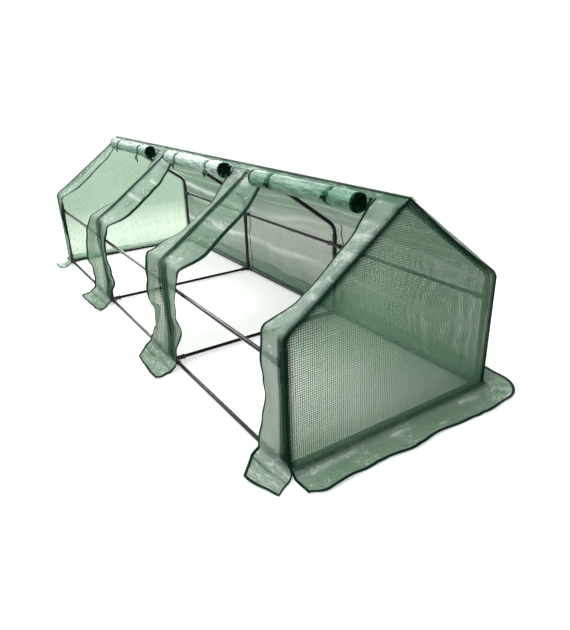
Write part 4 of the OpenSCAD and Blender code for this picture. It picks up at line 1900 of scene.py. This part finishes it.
@dataclass(frozen=True)
class Studio:
    """The pale floor, the soft light and the camera."""

    LAMPS = (
        ("key", (-3.8, -0.9, 2.9), 2.0, 180.0),
        ("top", (1.3, -1.5, 4.2), 2.4, 165.0),
        ("back", (-2.6, 2.8, 2.6), 2.2, 60.0),
        ("left", (-4.0, 1.7, 1.4), 1.6, 190.0),
    )
    MIRRORED = (("Is Glossy Ray", "ADD"), ("Is Transmission Ray", "ADD"), ("Is Diffuse Ray", "SUBTRACT"))

    camera_at: tuple[float, float, float] = (2.5316, -1.1936, 1.1382)
    azimuth: float = 57.35
    elevation: float = 23.36
    roll: float = -1.82
    focal_px: float = 549.6
    frame_h_px: float = 630.0
    sensor: float = 36.0
    aim_z: float = 0.35
    floor_size: float = 40.0
    floor_z: float = -0.0005
    floor_fade: tuple[float, float] = (1.4, 3.2)
    floor_glow: float = 0.5
    paper: Colour = (0.70, 0.70, 0.68, 1.0)
    sky: float = 0.36
    # Seen through the film, the white floor and backdrop are dimmed to this share, as painted shade.
    through_film: float = 0.5

    def build(self) -> None:
        """Sets up the floor, lights, world and camera."""
        self.floor()
        self.world()
        for name, spot, size, power in self.LAMPS:
            self.lamp(name, spot, size, power)
        self.camera()
        bpy.context.scene.view_settings.view_transform = "Standard"

    def floor(self) -> None:
        """Lays the floor."""
        bpy.ops.object.select_all(action="DESELECT")
        bpy.ops.mesh.primitive_plane_add(size=self.floor_size, location=(0.0, 0.0, self.floor_z))
        plane = bpy.context.object
        plane.name = "floor"
        board = NodeBoard.material("pale_floor")
        paper = board.add("BsdfDiffuse", values={"Color": self.paper}).outputs["BSDF"]
        path = board.add("LightPath").outputs
        straight = board.math("SUBTRACT", path["Is Transmission Ray"], path["Is Diffuse Ray"])
        mirrored = board.math("ADD", path["Is Glossy Ray"], board.math("MAXIMUM", straight, 0.0))
        shown = board.math("MINIMUM", board.math("ADD", path["Is Camera Ray"], mirrored), 1.0)
        # Seen through the film, the floor gets no added glow and the far floor is dimmed: painted shade
        # behind the film.
        open_view = board.math("SUBTRACT", 1.0, board.math("MINIMUM", path["Transparent Depth"], 1.0))
        strength = board.math("MULTIPLY", board.math("MULTIPLY", shown, open_view), self.floor_glow)
        glow = board.add("Emission", {"Strength": strength}, {"Color": WHITE}).outputs["Emission"]
        lit = board.add("AddShader", {0: paper, 1: glow}).outputs[0]
        place = board.add("TexCoord").outputs["Object"]
        away = board.add("VectorMath", {0: place}, operation="LENGTH").outputs["Value"]
        far = board.math("MULTIPLY", board.span(away, *self.floor_fade), shown)
        bright = board.math("MULTIPLY_ADD", open_view, 1.0 - self.through_film, self.through_film)
        blank = board.add("Emission", {"Strength": bright}, {"Color": WHITE}).outputs["Emission"]
        plane.data.materials.append(board.finish(board.blend(far, lit, blank)))

    def world(self) -> None:
        """Lights the scene evenly, and shows white to the camera, dimmed as painted shade where it is seen
        through the film.
        """
        world = bpy.data.worlds.new("studio")
        bpy.context.scene.world = world
        board = NodeBoard(world)
        path = board.add("LightPath").outputs
        soft = board.add("Background", values={"Strength": self.sky}).outputs[0]
        dimmed = {"To Min": 1.0, "To Max": self.through_film}
        bright = board.add("MapRange", {"Value": path["Transparent Depth"]}, dimmed).outputs["Result"]
        white = board.add("Background", {"Strength": bright}, {"Color": WHITE}).outputs[0]
        shown = path["Is Camera Ray"]
        for name, operation in self.MIRRORED:
            step = board.add("Math", {0: shown, 1: path[name]}, operation=operation, use_clamp=True)
            shown = step.outputs[0]
        board.finish(board.blend(shown, soft, white), "OutputWorld")

    def lamp(self, name: str, spot: tuple[float, float, float], size: float, power: float) -> None:
        """Hangs a soft lamp that faces the tunnel.

        Args:
            name: Name of the lamp.
            spot: Where it hangs.
            size: Width of its square face.
            power: Power in watts.
        """
        data = bpy.data.lights.new(name, "AREA")
        data.size = size
        data.energy = power
        lamp = bpy.data.objects.new(name, data)
        bpy.context.scene.collection.objects.link(lamp)
        lamp.location = spot
        aim = Vector((0.0, 0.0, self.aim_z)) - Vector(spot)
        lamp.rotation_euler = aim.to_track_quat("-Z", "Y").to_euler()

    def camera(self) -> None:
        """Stands the camera where the photograph was taken from."""
        az, el, roll = (math.radians(a) for a in (self.azimuth, self.elevation, self.roll))
        back = Vector((math.sin(az) * math.cos(el), -math.cos(az) * math.cos(el), math.sin(el)))
        right = (-back).cross(Vector((0.0, 0.0, 1.0))).normalized()
        up = right.cross(-back)
        turned = math.cos(roll) * right + math.sin(roll) * up
        upright = math.cos(roll) * up - math.sin(roll) * right
        data = bpy.data.cameras.new("camera")
        data.sensor_fit = "VERTICAL"
        data.sensor_height = self.sensor
        data.lens = self.focal_px / self.frame_h_px * self.sensor
        data.clip_end = 100.0
        camera = bpy.data.objects.new("camera", data)
        bpy.context.scene.collection.objects.link(camera)
        turn = Matrix((turned, upright, back)).transposed().to_4x4()
        camera.matrix_world = Matrix.Translation(Vector(self.camera_at)) @ turn
        bpy.context.scene.camera = camera


def front_strips(shared: dict) -> list[FrontStrip]:
    """The four strips, each hanging in its own way.

    Args:
        shared: Sizes and finishes that every cover takes.

    Returns:
        The strips, from the left end to the right.
    """
    # Each strip's painted glare is set below; strip 4's slope is the palest.
    first = FrontStrip(
        **shared, number=1, seed=1, worn=0.2, painted_glare=0.05, glints=(), crease_at=0.035,
        crease=((0.03, 0.008), (0.20, 0.012), (0.34, 0.010), (0.43, 0.002)),
        left=Wing(SEWN, -0.024, (-0.030, -0.552)),
        right=Wing(
            ((0.03, 0.010), (0.10, 0.0), (0.18, -0.008), (0.27, 0.008), (0.35, 0.012), (0.43, 0.003)),
            0.087, (0.089, -0.545),
        ),
    )
    second = FrontStrip(
        **shared, number=2, seed=2, worn=0.5, glints=(0.075, 0.22, 0.34),
        crease=((0.03, 0.012), (0.10, 0.014), (0.22, 0.030), (0.34, 0.018), (0.43, 0.003)),
        left=Wing(
            ((0.03, 0.014), (0.08, 0.008), (0.15, 0.014), (0.22, 0.036), (0.29, 0.032), (0.37, 0.018),
             (0.45, 0.006)),
            -0.236, (-0.193, -0.571),
        ),
        right=Wing(
            ((0.03, 0.012), (0.07, 0.006), (0.13, -0.014), (0.21, 0.0), (0.30, 0.020), (0.37, 0.020),
             (0.45, 0.004)),
            0.076, (0.136, -0.555),
        ),
    )
    third = FrontStrip(
        **shared, number=3, seed=3, worn=0.5, glints=(0.075, 0.10, 0.30),
        crease=((0.03, 0.016), (0.10, 0.018), (0.22, 0.030), (0.33, 0.018), (0.43, 0.003)),
        left=Wing(
            ((0.03, 0.012), (0.07, -0.005), (0.13, -0.034), (0.20, -0.036), (0.25, 0.010), (0.29, 0.014),
             (0.36, 0.006), (0.44, 0.002)),
            -0.228, (-0.134, -0.565),
        ),
        right=Wing(
            ((0.03, 0.012), (0.10, 0.004), (0.18, -0.018), (0.27, 0.012), (0.34, 0.018), (0.44, 0.003)),
            0.094, (0.110, -0.581),
        ),
    )
    fourth = FrontStrip(
        **shared, number=4, seed=4, worn=0.75, painted_glare=0.42, glints=(0.075, 0.115, 0.175, 0.255, 0.37, 0.41),
        crease=((0.03, 0.014), (0.12, 0.010), (0.24, 0.006), (0.34, 0.010), (0.43, 0.002)),
        left=Wing(
            ((0.03, 0.018), (0.07, 0.016), (0.14, 0.002), (0.22, -0.008), (0.29, 0.004), (0.36, 0.014),
             (0.44, 0.003)),
            -0.130, (-0.038, -0.586),
        ),
        right=Wing(SEWN, 0.062, (0.088, -0.536)),
    )
    return [first, second, third, fourth]


def main() -> None:
    """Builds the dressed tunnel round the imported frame."""
    logging.basicConfig(level=logging.INFO, format="%(name)s: %(message)s")
    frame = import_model()
    Studio().build()
    sizes = TunnelSizes.from_frame()
    finishes = Finishes.mixed()
    shared = {"sizes": sizes, "finishes": finishes}
    EndPanel(**shared, side=1, node="right_end_panel").build()
    # The left panel is paler by painted glow from the light behind it.
    EndPanel(**shared, side=-1, node="left_end_panel", painted_glare=0.12).build()
    BackCover(**shared).build()
    for strip in front_strips(shared):
        strip.build()
    Skirt(**shared).build()
    RidgeBand(**shared).build()
    # Rolls 1 and 2 get painted glare; rolls 1 and 3 get painted shade as well.
    RolledDoor(**shared, number=1, seed=1, pale=0.42, dim=0.38, loose=(0.022, 0.050)).build()
    RolledDoor(**shared, number=2, seed=2, pale=0.6).build()
    RolledDoor(**shared, number=3, seed=3, pale=0.20, dim=0.18, knot_turns=(168.0, 158.0)).build()
    Metalwork(frame["nodes"], finishes).build()


if __name__ == "__main__":
    main()
